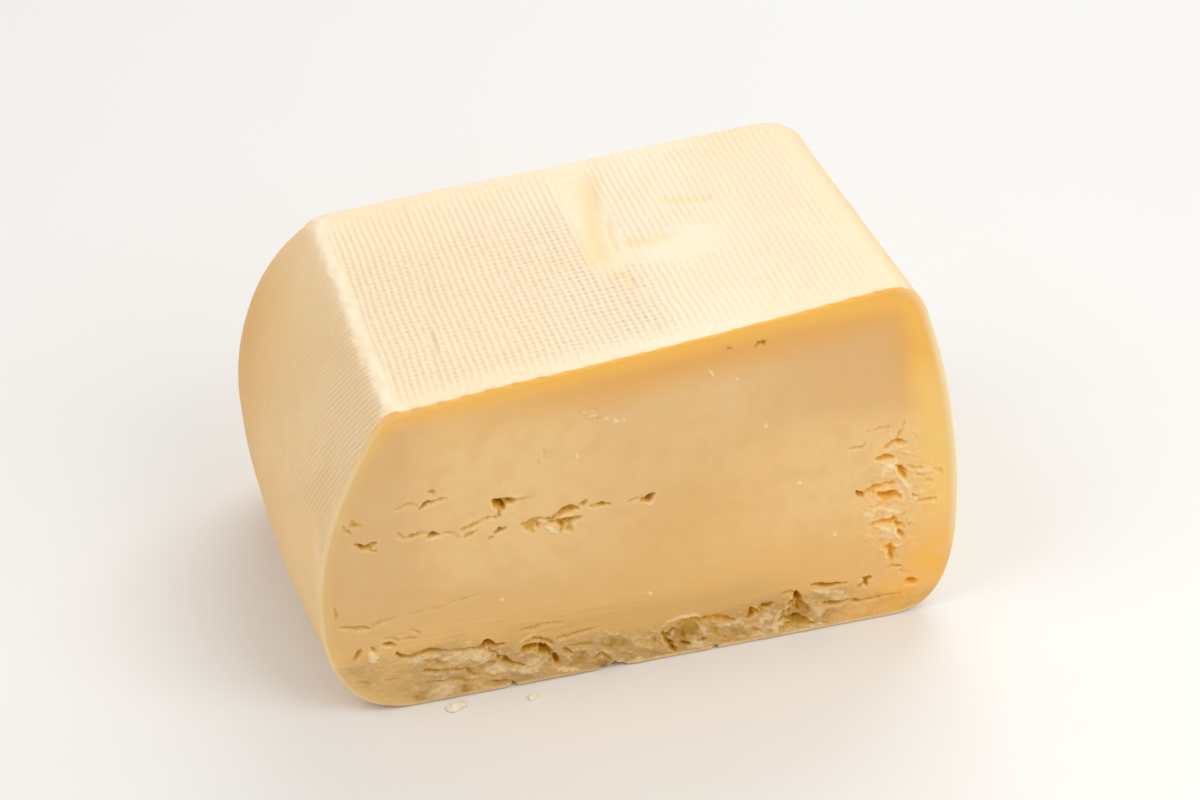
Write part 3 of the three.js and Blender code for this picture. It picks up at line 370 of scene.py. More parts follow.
# Folds and dents that the cloth left in the top, in millimetres: breadth, depth, and the line. A negative
# depth stands out.
TOP_FOLDS = [
    (5.6, 0.42, (6.2, 24.0), (5.4, 19.0), (3.8, 12.0), (2.0, 5.0), (1.0, 0.0), (0.2, -6.0), (-0.4, -12.0)),
    (1.0, 0.28, (4.9, 5.6), (4.6, 0.0), (4.2, -4.0), (4.4, -8.2)),
    (0.9, 0.2, (6.6, 7.0), (5.8, 4.6), (5.6, 1.4)),
    (2.4, -0.16, (8.4, 20.0), (6.8, 12.0), (6.6, 6.0)),
    (3.6, 0.36, (6.0, -4.0), (8.2, -5.4), (11.0, -6.2), (15.6, -6.4)),
    (3.0, -0.2, (3.6, -11.8), (6.6, -11.8), (12.0, -10.8)),
    (2.8, 0.3, (17.6, 7.4), (20.6, 6.4), (24.0, 4.9), (28.4, 3.2)),
    (2.6, -0.16, (21.6, 1.8), (25.4, 1.2), (28.4, -1.2)),
    (1.3, 0.28, (-1.0, -17.2), (0.4, -15.9), (2.4, -15.8), (3.6, -17.4), (3.4, -20.2), (2.2, -22.6)),
    (2.2, 0.25, (3.4, -35.4), (3.6, -37.4)),
    (2.2, 0.25, (25.8, -29.2), (29.4, -28.8)),
    (1.4, 0.25, (-20.8, -4.6), (-18.4, -5.2)),
    (2.6, 0.12, (-29.8, 20.0), (-32.6, 9.0), (-35.0, -2.0), (-36.6, -12.0), (-38.0, -19.0)),
    (1.3, 0.32, (-38.0, -18.6), (-38.6, -24.0), (-39.2, -29.0)),
    (2.4, 0.14, (-39.2, -28.0), (-39.8, -34.0), (-40.6, -40.0)),
    (1.4, -0.18, (-36.6, -19.0), (-37.2, -27.0)),
    (1.8, -0.15, (-31.2, 31.0), (-31.8, 21.0)),
    (4.0, 0.14, (24.0, 24.0), (32.0, 21.0), (40.0, 22.0)),
]

# The foot's front edge stands clear of the floor, in millimetres: all along, and more within a stretch.
LIFT = {"height": 0.3, "from": -30, "to": -7, "more": 0.3}

# Crumbs on the floor before the foot: place along and before the cut in millimetres, size as a share, and
# turn in radians.
CRUMBS = [
    (-42.0, 3.1, 1.0, 0.1),
    (-40.2, 2.2, 0.5, 1.1),
    (-25.8, 4.3, 0.6, 0.3),
    (-24.9, 4.0, 0.3, 1.3),
    (-33.4, 3.6, 0.16, 0.5),
]

CLOTH_PITCH = (1.45 * MM, 1.55 * MM)  # between the cloth's threads, along x and along y
CHEESE_SHADER = {"Subsurface_Weight": 0.45, "IOR": 1.42, "Subsurface_Scale": 0.8 * MM}
EYE = (-122.16, -433.675, 344.61)  # the camera's place and aim, in millimetres
AIM = (3, -6, 40)


class LoafSettings(bpy.types.PropertyGroup):
    """The rind's net and relief."""

    waviness: FloatProperty(
        name="Waviness", description="How far the rind rises and falls over a few centimetres",
        default=0.32 * MM, unit="LENGTH",
    )
    shoulder_bead: FloatProperty(
        name="Shoulder bead", description="Height of the bead along the left shoulder",
        default=0.5 * MM, unit="LENGTH",
    )
    fold_depth: FloatProperty(
        name="Fold depth", description="Share of their full depth that the cloth's folds are pressed in",
        default=1.0, subtype="FACTOR",
    )
    seed: IntProperty(name="Seed", description="Chooses the unevenness", default=11)


class CutSettings(bpy.types.PropertyGroup):
    """The cut face's relief."""

    net: FloatProperty(
        name="Net", description="Distance between the points of the knife's fine net",
        default=0.24 * MM, unit="LENGTH",
    )
    tear_depth: FloatProperty(
        name="Tear depth", description="Share of their full depth that tears and hollows have",
        default=1.0, subtype="FACTOR",
    )
    gape: FloatProperty(
        name="Gape", description="Share of their full gape that tears have", default=0.85, subtype="FACTOR"
    )
    torn: FloatProperty(
        name="Torn curd", description="How far the torn curd at the foot and side stands out or back",
        default=0.42 * MM, unit="LENGTH",
    )
    rim: FloatProperty(
        name="Rim rounding", description="Radius of the cut face's rim", default=0.7 * MM, unit="LENGTH"
    )
    seed: IntProperty(name="Seed", description="Chooses the unevenness", default=23)


class CheeseColours(bpy.types.PropertyGroup):
    """The colours of rind and paste."""

    rind: FloatVectorProperty(
        name="Rind", description="Pressed rind on the top", default=(0.94, 0.782, 0.572), subtype="COLOR"
    )
    # Partly the sides' own yellower rind, partly painted shade and warm bounce light, which make the sides
    # darker and more orange than the top.
    flank: FloatVectorProperty(
        name="Flank", description="Smooth rind on the sides", default=(0.93, 0.635, 0.32), subtype="COLOR"
    )
    paste: FloatVectorProperty(
        name="Paste", description="Smooth cheese in the cut", default=(0.835, 0.534, 0.231), subtype="COLOR"
    )
    # Partly the paste's own deeper band under the rind, partly a painted glow where light would come
    # through the rind.
    rim: FloatVectorProperty(
        name="Rim", description="Drier, deeper band of paste under the rind",
        default=(1.0, 0.555, 0.115), subtype="COLOR",
    )
    # Partly the paste's own colour in the hollows, partly painted shade: darker and more saturated than the
    # paste.
    hollow: FloatVectorProperty(
        name="Hollow", description="Paste inside tears and hollows",
        default=(0.49, 0.27, 0.04), subtype="COLOR",
    )
    foot: FloatVectorProperty(
        name="Foot", description="Glassy curd in the strip along the foot",
        default=(0.52, 0.335, 0.11), subtype="COLOR",
    )
    curd: FloatVectorProperty(
        name="Curd", description="Whitish lumps of curd", default=(0.84, 0.64, 0.345), subtype="COLOR"
    )


class CrumbSettings(bpy.types.PropertyGroup):
    """The crumbs before the foot."""

    largest: FloatProperty(
        name="Largest", description="Width of the largest crumb", default=3.6 * MM, unit="LENGTH"
    )
    seed: IntProperty(name="Seed", description="Chooses the crumbs' shapes", default=5)


class StageSettings(bpy.types.PropertyGroup):
    """Floor, light and camera."""

    floor: FloatVectorProperty(
        name="Floor", description="Colour of the floor", default=(0.86, 0.85, 0.83), subtype="COLOR"
    )
    sky: FloatProperty(name="Surroundings", description="Strength of the even light", default=0.5)
    key: FloatProperty(name="Key light", description="Power of the large soft light behind", default=5.85)
    fill: FloatProperty(name="Fill light", description="Power of the light above the front", default=1.15)
    side: FloatProperty(name="Side light", description="Power of the light on the left", default=2.15)
    lens: FloatProperty(name="Lens", description="Focal length of the camera, in millimetres", default=76)


# Shapes worked out point by point -------------------------------------------------------------------------


def smooth_step(values, low, high):
    """Rises smoothly from 0 where a value is low to 1 where it is high."""
    share = np.clip((values - low) / (high - low), 0, 1)
    return share * share * (3 - 2 * share)


def step_mm(lengths, low, high):
    """Rises smoothly from 0 to 1 between two lengths in millimetres."""
    return smooth_step(lengths, low * MM, high * MM)


def hump(lengths, breadth):
    """A round hump, 1 where a length is 0."""
    return np.exp(-((lengths / breadth) ** 2))


def lattice_noise(places, seed):
    """Smooth noise from -1 to 1 at an array of places, one lattice step for each unit."""
    size = 32
    table = np.random.default_rng(seed).uniform(-1, 1, (size, size, size))
    cell = np.floor(places).astype(int)
    share = places - cell
    share = share * share * (3 - 2 * share)
    result = 0
    for steps in np.ndindex(2, 2, 2):
        weight = 1
        for axis, step in enumerate(steps):
            weight = weight * (share[:, axis] if step else 1 - share[:, axis])
        corner = (cell + steps) % size
        result = result + weight * table[corner[:, 0], corner[:, 1], corner[:, 2]]
    return result


def layered_noise(places, seed, layers=3):
    """Noise in layers, each half as large and half as strong as the one before."""
    total = 0
    for layer in range(layers):
        total = total + lattice_noise(places * 2**layer + 17.3 * layer, seed + layer) / 2**layer
    return total / (2 - 2 ** (1 - layers))


def flat_noise(x, z, size, seed, layers=2, stretch=1.0):
    """Layered noise over a face, with lumps of about this size in millimetres, drawn out by stretch."""
    places = np.column_stack([x / (size * MM * stretch), z / (size * MM), np.full_like(x, 0.5)])
    return layered_noise(places, seed, layers)


def along_curve(points, share):
    """Points on a Bezier curve through any number of holding points."""
    rows = [np.array(point, dtype=float)[None, :] * np.ones((len(share), 1)) for point in points]
    share = share[:, None]
    while len(rows) > 1:
        rows = [a + (b - a) * share for a, b in zip(rows, rows[1:])]
    return rows[0]


def on_outline(outline, share):
    """Distances inwards and up, in metres, at shares of the way from the foot's flat to the top's flat."""
    side_end = 1 - SHOULDER_SHARE
    foot = along_curve(outline.foot, np.clip(share / FOOT_SHARE, 0, 1))
    side = along_curve(outline.side, np.clip((share - FOOT_SHARE) / (side_end - FOOT_SHARE), 0, 1))
    shoulder = along_curve(outline.shoulder, np.clip((share - side_end) / SHOULDER_SHARE, 0, 1))
    at_side = (share > FOOT_SHARE)[:, None]
    at_shoulder = (share > side_end)[:, None]
    return np.where(at_shoulder, shoulder, np.where(at_side, side, foot)) * MM


def corner_radius(share):
    """The radius of the upright corners at shares of the way up the outlines."""
    belly = CORNER_RADIUS["belly"]
    foot_part = CORNER_RADIUS["foot"] + (belly - CORNER_RADIUS["foot"]) * share / FOOT_SHARE
    above = (share - FOOT_SHARE) / (1 - FOOT_SHARE)
    return np.where(share < FOOT_SHARE, foot_part, belly + (CORNER_RADIUS["top"] - belly) * above)


def round_run(share, low, high, radius):
    """Goes along a side from the middle of one rounded corner to the middle of the next.

    Returns the place along the side, how far the corner draws it in, and how far it has turned, from 0 on
    the side to 1 at a corner.
    """
    arc = radius * math.pi / 4
    straight = high - low - 2 * radius
    gone = (share + 1) / 2 * (straight + 2 * arc)
    first = np.minimum(gone - arc, 0) / radius
    last = np.maximum(gone - arc - straight, 0) / radius
    angle = first + last
    run = low + radius + np.clip(gone - arc, 0, straight) + radius * np.sin(angle)
    return run, radius * (1 - np.cos(angle)), np.abs(angle) / (math.pi / 4)


def on_ring(u, v, share):
    """Places on the block's rings: x, y and the height as a share of the block's.

    (u, v) goes around a square, and share goes up the outlines.
    """
    radius = corner_radius(share)
    left, right, end = (on_outline(outline, share) for outline in (LEFT, RIGHT, END))
    west, east = left[:, 0] - FACE_WIDTH / 2, FACE_WIDTH / 2 - right[:, 0]
    near, far = NEAR_Y + end[:, 0], DEPTH / 2 - end[:, 0]
    on_flank = np.abs(u) >= np.abs(v)
    run_y, inset_x, turn_flank = round_run(v, near, far, radius)
    run_x, inset_y, turn_end = round_run(u, west, east, radius)
    flank_x = np.where(u > 0, east - inset_x, west + inset_x)
    end_y = np.where(v > 0, far - inset_y, near + inset_y)
    flank_up = np.where(u > 0, right[:, 1], left[:, 1])
    up_on_flank = flank_up + (end[:, 1] - flank_up) * turn_flank / 2
    up_on_end = end[:, 1] + (flank_up - end[:, 1]) * turn_end / 2
    x = np.where(on_flank, flank_x, run_x)
    y = np.where(on_flank, run_y, end_y)
    return x, y, np.where(on_flank, up_on_flank, up_on_end) / HEIGHT


def top_height(x):
    """The flat top's height."""
    return HEIGHT + TOP_LEAN * x


def left_swell(x, y, up):
    """How far the left side is pushed out behind the cut."""
    along = np.maximum(1 - ((y - SWELL["middle"]) / SWELL["reach"]) ** 2, 0)
    height = np.maximum(1 - ((up - SWELL["up"]) / SWELL["spread"]) ** 2, 0)
    leftness = np.clip((-x - 20 * MM) / (35 * MM), 0, 1)
    return SWELL["out"] * along * height * leftness


def block_place(cube):
    """Where the points of a cube's net, from -1 to 1, come to lie on the block."""
    u, v, w = cube.T
    v = v + 0.3 * (1 - v**2)  # wider before the cut, and finer behind it
    edge = np.maximum(np.maximum(np.abs(u), np.abs(v)), 1e-9)
    on_flat = np.abs(w) > 1 - 1e-6
    reach = np.where(on_flat, edge, 1)
    x, y, up = on_ring(u / edge, v / edge, (w + 1) / 2)
    middle_y = (NEAR_Y + DEPTH / 2) / 2
    x = x * reach
    y = middle_y + (y - middle_y) * reach
    return np.column_stack([x - left_swell(x, y, up), y - END_SKEW * x, up * top_height(x)])


def distance_to_line(x, z, line):
    """Distance of each place from a line of points, and the share of the line before the nearest point."""
    points = np.array(line, dtype=float) * MM
    lengths = np.linalg.norm(np.diff(points, axis=0), axis=1)
    before = np.concatenate([[0], np.cumsum(lengths)])
    nearest = np.full(len(x), 1e9)
    share = np.zeros(len(x))
    for start, step, length, gone in zip(points, np.diff(points, axis=0), lengths, before):
        along = np.clip(((x - start[0]) * step[0] + (z - start[1]) * step[1]) / length**2, 0, 1)
        away = np.hypot(x - start[0] - along * step[0], z - start[1] - along * step[1])
        closer = away < nearest
        nearest = np.where(closer, away, nearest)
        share = np.where(closer, (gone + along * length) / before[-1], share)
    return nearest, share


def line_shares(line):
    """The share of the whole way at which each point of a line comes."""
    points = np.array(line, dtype=float)[:, :2]
    gone = np.concatenate([[0], np.cumsum(np.linalg.norm(np.diff(points, axis=0), axis=1))])
    return gone / gone[-1]


def side_of_line(x, z, line):
    """Distance of each place from a line of points, positive above it, and its share of the way along."""
    points = np.array(line, dtype=float) * MM
    away, share = distance_to_line(x, z, line)
    gone = line_shares(line)
    here, ahead, behind = (
        [np.interp(share + step, gone, points[:, axis]) for axis in (0, 1)] for step in (0, 0.02, -0.02)
    )
    turn = (ahead[0] - behind[0]) * (z - here[1]) - (ahead[1] - behind[1]) * (x - here[0])
    return np.where(turn >= 0, away, -away), share


def fold_depths(x, y):
    """How deep the cloth's folds are pressed into the top. Where it is negative, the rind stands out."""
    wander = flat_noise(x, y, 6, seed=31) * 0.5 * MM
    depth = np.zeros(len(x))
    for breadth, deepest, *line in TOP_FOLDS:
        away, share = distance_to_line(x + wander, y + wander, line)
        ends = 0.35 + 0.65 * smooth_step(share, 0, 0.15) * smooth_step(1 - share, 0, 0.15)
        depth += deepest * MM * ends * hump(away, breadth * MM / 2)
    return depth


def weave_shares(x, y):
    """How strongly the cloth's threads show on the top: those that run back, and those that run across."""
    border = smooth_step(y, CUT_Y, CUT_Y + 10 * MM) * step_mm(-y, -34, -22)
    border = border * (1 - step_mm(x, 45, 52)) * step_mm(x, -50.2, -48.4)
    patches = flat_noise(x, y, 9, seed=35)
    seam = step_mm(np.abs(x - 3 * MM), 2.5, 6)
    seam = np.maximum(seam, 1 - step_mm(y, -16, -11))
    bare = smooth_step(np.hypot((x - 17 * MM) / (9 * MM), (y + 10 * MM) / (6 * MM)), 0.7, 1.3)
    leftward = 1 - step_mm(x, 6, 20)
    columns = (0.75 + 0.25 * leftward + 0.35 * patches * (1 - leftward)) * border * seam * bare
    across = (0.12 + 0.88 * (1 - step_mm(x, 0, 13))) * (1 - step_mm(y, 4, 24))
    on_right = np.exp(-(((x - 36 * MM) / (8 * MM)) ** 2 + ((y + 22 * MM) / (13 * MM)) ** 2))
    rows = np.maximum(across, 0.45 * on_right) * (1 + 0.4 * patches) * border * seam * bare
    return np.clip(columns, 0, 1), np.clip(rows, 0, 1)


def bead_share(places):
    """How much a place belongs to the bead along the left shoulder, 0 to 1."""
    x, y, z = places.T
    sway = flat_noise(y, z * 0, 14, seed=53) * 0.6 * MM
    sway = sway + flat_noise(y, z * 0, 3, seed=54) * 0.3 * MM
    away = np.hypot(x + FACE_WIDTH / 2 - 16.8 * MM + sway, z - top_height(x) + 0.5 * MM)
    uneven = 0.75 + 1.1 * layered_noise(places / (2.6 * MM), 77, 2)
    return np.clip(hump(away, 1.6 * MM) * uneven, 0, 1)


def rind_relief(places, normals, settings):
    """How far each point of the rind stands out along its normal."""
    x, y, _ = places.T
    waves = layered_noise(places / (26 * MM), settings.seed, 2) * settings.waviness
    lumps = layered_noise(places / (7 * MM), settings.seed + 9, 2) * settings.waviness * 0.22
    topness = smooth_step(normals[:, 2], 0.75, 0.95)
    relief = waves + lumps - fold_depths(x, y) * topness * settings.fold_depth
    relief += settings.shoulder_bead * bead_share(places)
    footness = smooth_step(-normals[:, 2], 0.6, 0.95)
    return relief * (1 - footness)


def foot_lift(places):
    """How far the foot stands clear of the floor near the cut."""
    x, y, z = places.T
    low, high = LIFT["from"] * MM, LIFT["to"] * MM
    along = smooth_step(x, low, low + 9 * MM) * (1 - smooth_step(x, high - 2.5 * MM, high))
    near_cut = 1 - step_mm(y - CUT_Y, 1, 12)
    height = (LIFT["height"] + LIFT["more"] * along) * MM
    return height * near_cut * (1 - step_mm(z, 0, 5))


def cut_outline():
    """Points around the edge of the cut face, in metres."""
    share = np.linspace(0, 1, 160)
    left, right = on_outline(LEFT, share), on_outline(RIGHT, share)
    west = np.column_stack([left[:, 0] - FACE_WIDTH / 2, left[:, 1]])
    east = np.column_stack([FACE_WIDTH / 2 - right[:, 0], right[:, 1]])
    outline = np.vstack([west, east[::-1]])
    outline[:, 1] *= top_height(outline[:, 0]) / HEIGHT
    return np.vstack([outline, outline[:1]])


def rim_distance(x, z):
    """Distance of each place on the cut face from its edge, at most DEEPEST_RIM, and 0 outside the edge."""
    outline = cut_outline()
    near = (np.abs(x) > FACE_WIDTH / 2 - 30 * MM) | (z < DEEPEST_RIM) | (z > HEIGHT - 26 * MM)
    away = np.full(len(x), DEEPEST_RIM)
    away[near] = np.minimum(distance_to_line(x[near], z[near], outline / MM)[0], DEEPEST_RIM)
    inside = np.zeros(len(x), dtype=bool)
    for (x0, z0), (x1, z1) in zip(outline, outline[1:]):
        if z0 != z1:
            crosses = (z0 > z) != (z1 > z)
            inside ^= crosses & (x < x0 + (z - z0) * (x1 - x0) / (z1 - z0))
    return np.where(inside, away, 0)


def near_box(x, z, points, reach):
    """Which places lie within reach of some points' bounding box. Points and reach are millimetres."""
    points = np.array(points, dtype=float)[:, :2]
    low, high = (points.min(axis=0) - reach) * MM, (points.max(axis=0) + reach) * MM
    return (x > low[0]) & (x < high[0]) & (z > low[1]) & (z < high[1])


def near_spots(x, z, spots, seed):
    """Goes through spots that are ragged ellipses.

    Yields each spot, which places are near it, how far these are from its middle, 1 at its edge, and their
    share of the way up.
    """
    for spot in spots:
        near = near_box(x, z, [(spot.x, spot.z)], max(spot.width, spot.height))
        px, pz = x[near], z[near]
        size = (spot.width + spot.height) / 2 * MM
        push_x = flat_noise(px, pz, 1.2, seed, layers=3) * 1.8
        push_z = flat_noise(px, pz, 1.0, seed + 1, layers=3) * 1.8
        dx = px - spot.x * MM + push_x * min(0.9 * MM, 0.35 * size)
        dz = pz - spot.z * MM + push_z * min(0.7 * MM, 0.3 * size)
        tilt = math.radians(spot.tilt)
        along = (dx * math.cos(tilt) + dz * math.sin(tilt)) / (spot.width * MM / 2)
        across = (dz * math.cos(tilt) - dx * math.sin(tilt)) / (spot.height * MM / 2)
        yield spot, near, (np.abs(along) ** 1.6 + np.abs(across) ** 1.6) ** (1 / 1.6), across


def spot_share(x, z, spots, seed, soft=0.5):
    """How much each place belongs to any of some ragged spots, 0 to 1."""
    share = np.zeros(len(x))
    for _, near, reach, _ in near_spots(x, z, spots, seed):
        share[near] = np.maximum(share[near], 1 - smooth_step(reach, 1 - soft, 1 + soft * 0.4))
    return share


def hollow_depths(x, z, settings):
    """How deep the round openings go into the cheese: steep above, and rising gently below."""
    depth = np.zeros(len(x))
    for hollow, near, reach, across in near_spots(x, z, HOLLOWS, settings.seed):
        coarse = flat_noise(x[near], z[near], 1.5, settings.seed + 2, layers=3)
        floor = 0.68 + 0.32 * np.clip(across, -1, 1) + 0.3 * coarse
        deep = hollow.depth * MM * (1 - smooth_step(reach, 0.5, 1.05)) * floor
        depth[near] = np.maximum(depth[near], deep)
    return depth * settings.tear_depth


def curd_rise(x, z, settings):
    """How far the lumps of curd stand out of the cut."""
    rise = np.zeros(len(x))
    for lump, near, reach, _ in near_spots(x, z, CURDS, settings.seed + 30):
        lumpy = 1 + 0.5 * flat_noise(x[near], z[near], 1.1, settings.seed + 33)
        rise[near] = np.maximum(rise[near], lump.depth * MM * (1 - smooth_step(reach, 0.4, 1.1)) * lumpy)
    return rise


def tear_relief(x, z, settings):
    """Depth of the tears at each place, and how far the curd stands out beside and between them.

    A tear drops steeply above its line, rises gently below it and has a low lip there.
    """
    depth, rise = np.zeros(len(x)), np.zeros(len(x))
    seed = settings.seed
    for number, (deepest, *line) in enumerate(TEARS):
        near = near_box(x, z, line, 3)
        px = x[near] + flat_noise(x[near], z[near], 1.3, seed + 7, layers=3) * 0.5 * MM
        pz = z[near] + flat_noise(x[near], z[near], 0.9, seed + 8, layers=3) * 0.5 * MM
        side, share = side_of_line(px, pz, [point[:2] for point in line])
        gapes = np.array([point[2] for point in line])
        half = np.interp(share, line_shares(line), gapes) * settings.gape * MM / 2
        beat = flat_noise(px, pz, 0.9, seed + 11 + number)
        shallow = np.clip(half * 2 / (gapes.max() * settings.gape * MM), 0, 1) ** 0.6
        shallow = shallow * np.clip(0.9 + 0.9 * beat, 0.1, 1.5)
        if deepest < 0:
            ridge = 1 - smooth_step(np.abs(side), half * 0.2, half * 1.3 + 0.1 * MM)
            rise[near] = np.maximum(rise[near], -deepest * MM * ridge * shallow)
            continue
        above = 1 - smooth_step(side, half * 0.5, half + 0.22 * MM)
        below = 1 - smooth_step(-side, half * 0.3, half * 1.3 + 0.3 * MM)
        groove = np.where(side > 0, above, below)
        depth[near] = np.maximum(depth[near], deepest * MM * groove * shallow)
        lip = hump(side + half * 1.5 + 0.3 * MM, 0.35 * MM) * shallow
        lip = lip * np.clip(0.55 + 2 * beat, 0, 1.3)
        rise[near] = np.maximum(rise[near], 0.1 * min(deepest, 1.5) * MM * lip)
    return depth * settings.tear_depth, rise * settings.tear_depth


def strip_share(x, z):
    """How much a place belongs to the crumbly strip along the foot, 0 to 1."""
    edge = 10.5 * MM + flat_noise(x, z, 9, seed=61, stretch=1.6) * 2.5 * MM
    edge = edge + 5 * MM * step_mm(-x, 26, 42) - 4 * MM * step_mm(x, 40, 60)
    return 1 - smooth_step(z, edge - 3 * MM, edge + 1.5 * MM)


def cluster_share(x, z):
    """How much a place belongs to the torn cluster near the right rind, 0 to 1."""
    away = np.hypot((x - 54 * MM) / (9.5 * MM), (z - 32 * MM) / (20 * MM))
    return 1 - smooth_step(away + 0.3 * flat_noise(x, z, 5, seed=67), 0.55, 1.1)


def openings_and_rise(x, z, settings):
    """How deep hollows and tears go, and how far the tears' lips and ridges stand out."""
    tears, rise = tear_relief(x, z, settings)
    return np.maximum(hollow_depths(x, z, settings), tears) * (1 - 0.2 * cluster_share(x, z)), rise


def terraces(values, low, high):
    """Turns smooth values into steps, with risers where the fraction is between low and high."""
    level = np.floor(values)
    return level + smooth_step(values - level, low, high)


def torn_relief(x, z, rim, settings):
    """How far the torn curd falls back, or, where it is negative, stands out: steps, strands and grains."""
    seed = settings.seed
    slope = 0.42 * np.clip(x + 38 * MM, 0, 90 * MM)  # right of the left end, the strands run down
    px = x + flat_noise(x, z, 3.0, seed + 41) * 1.5 * MM
    pz = z + flat_noise(x, z, 2.4, seed + 42) * 1.0 * MM + slope
    strip, cluster = strip_share(x, z), cluster_share(x, z)
    steps = terraces(flat_noise(px, pz, 2.3, seed + 43, stretch=2.3) * 3, 0.55, 0.9) / 3 + 0.15
    flakes = terraces(flat_noise(px, pz, 1.0, seed + 45, stretch=2.0) * 2, 0.5, 0.85) / 2 + 0.15
    strands = 1 - np.abs(flat_noise(px, pz, 1.3, seed + 46, stretch=3.4)) / 0.22
    grains = flat_noise(x, z, 0.75, seed + 48)
    calm = 1 - 0.6 * step_mm(-x, 36, 50) - 0.7 * step_mm(x, 40, 52)
    share = np.clip(strip * calm + 0.9 * cluster, 0, 1.1) * step_mm(rim, 0.2, 1.6)
    return settings.torn * share * (steps + 0.55 * flakes - 0.3 * np.clip(strands, 0, 1) + 0.35 * grains)


def cut_relief(x, z, settings):
    """How far the cheese falls back behind the knife's plane at each place on the cut face."""
    rim, seed = rim_distance(x, z), settings.seed
    waves = flat_noise(x, z, 24, seed + 20, stretch=1.8) * 0.25 * MM
    ripples = flat_noise(x, z, 3.4, seed + 21, layers=3, stretch=2.4) * 0.09 * MM
    layers = 1 - np.abs(flat_noise(x, z, 1.7, seed + 25, stretch=7)) / 0.3
    scuffs = flat_noise(x, z, 0.8, seed + 27, stretch=1.5) * 0.18 * MM
    scuffs = scuffs * spot_share(x, z, SCUFFS, seed + 65, soft=1.0)
    above_strip = step_mm(z, 8, 13) * (1 - step_mm(z, 17, 25))
    leftward = 0.3 + 0.7 * (1 - step_mm(x, -8, 6))
    layered = 0.16 * MM * np.clip(layers, 0, 1) * above_strip * leftward
    openings, rise = openings_and_rise(x, z, settings)
    edge = np.clip(1 - rim / settings.rim, 0, 0.999)
    rounding = settings.rim * (1 - np.sqrt(1 - edge**2))
    closed = 1 - step_mm(openings, 0.05, 0.5)
    torn = torn_relief(x, z, rim, settings) * (0.4 + 0.6 * closed)
    raised = np.maximum(curd_rise(x, z, settings), rise) * closed
    return waves + ripples + scuffs + layered + torn + openings + rounding - raised


def glow_share(x, z, rim):
    """How strongly the paste glows under the rind, where light comes through, on the right and above."""
    uneven = flat_noise(x, z, 7, seed=91) * 1.3 * MM
    right, top = step_mm(x, 34, 60), step_mm(z, 56, 72)
    corner = right * (1 - step_mm(z, 8, 26))
    width = (1.6 + 3.6 * top + 11 * right * (1 - 0.7 * top) + 5 * corner) * MM
    strength = np.clip((0.6 + 0.35 * step_mm(x, -50, 0)) * top + right + 0.12, 0, 1)
    inner = 1 - smooth_step(rim + uneven * np.clip(right + 0.3 * top, 0, 1), 0.3 * width, width)
    outer = 1 - 0.5 * right * (1 - step_mm(rim, 0.6, 3))
    return strength * inner * outer


# Mesh helpers ---------------------------------------------------------------------------------------------


def deselect_all():
    """Leaves nothing selected, the CAD parts included."""
    bpy.ops.object.select_all(action="DESELECT")


def pick(piece):
    """Makes one piece the only one selected, and the active one."""
    deselect_all()
    piece.select_set(True)
    bpy.context.view_layer.objects.active = piece


def rows_from(items, field):
    """Rows of x, y and z, read from a mesh's points or normals."""
    flat = np.empty(len(items) * 3)
    items.foreach_get(field, flat)
    return flat.reshape(-1, 3)


def points_of(mesh):
    """A mesh's points."""
    return rows_from(mesh.vertices, "co")


def normals_of(mesh):
    """A mesh's normals at its points."""
    return rows_from(mesh.vertex_normals, "vector")


def move_points(mesh, places):
    """Puts a mesh's points at new places."""
    mesh.vertices.foreach_set("co", np.ascontiguousarray(places, dtype=np.float64).ravel())
    mesh.update()


def cut_along(piece, axis, cuts):
    """Divides a cube's edges that run along one axis, in edit mode, in one go."""
    net = bmesh.from_edit_mesh(piece.data)
    for edge in net.edges:
        run = edge.verts[1].co - edge.verts[0].co
        edge.select_set(abs(run[axis]) > 0.9 * run.length)
    net.select_flush_mode()
    bmesh.update_edit_mesh(piece.data)
    bpy.ops.mesh.subdivide(number_cuts=cuts)


def net_cube(name, cuts):
    """A cube whose faces carry a fine net."""
    deselect_all()
    bpy.ops.mesh.primitive_cube_add(size=2)
    piece = bpy.context.object
    piece.name = name
    bpy.ops.object.mode_set(mode="EDIT")
    bpy.ops.mesh.select_mode(type="EDGE")
    for axis, divisions in enumerate(cuts):
        for cut in divisions:
            cut_along(piece, axis, cut)
    bpy.ops.object.mode_set(mode="OBJECT")
    return piece


def apply_modifier(piece, kind, **settings):
    """Adds a modifier with these settings and applies it."""
    pick(piece)
    modifier = piece.modifiers.new(kind.title(), kind)
    for setting, value in settings.items():
        setattr(modifier, setting, value)
    bpy.ops.object.modifier_apply(modifier=modifier.name)


# Materials ------------------------------------------------------------------------------------------------


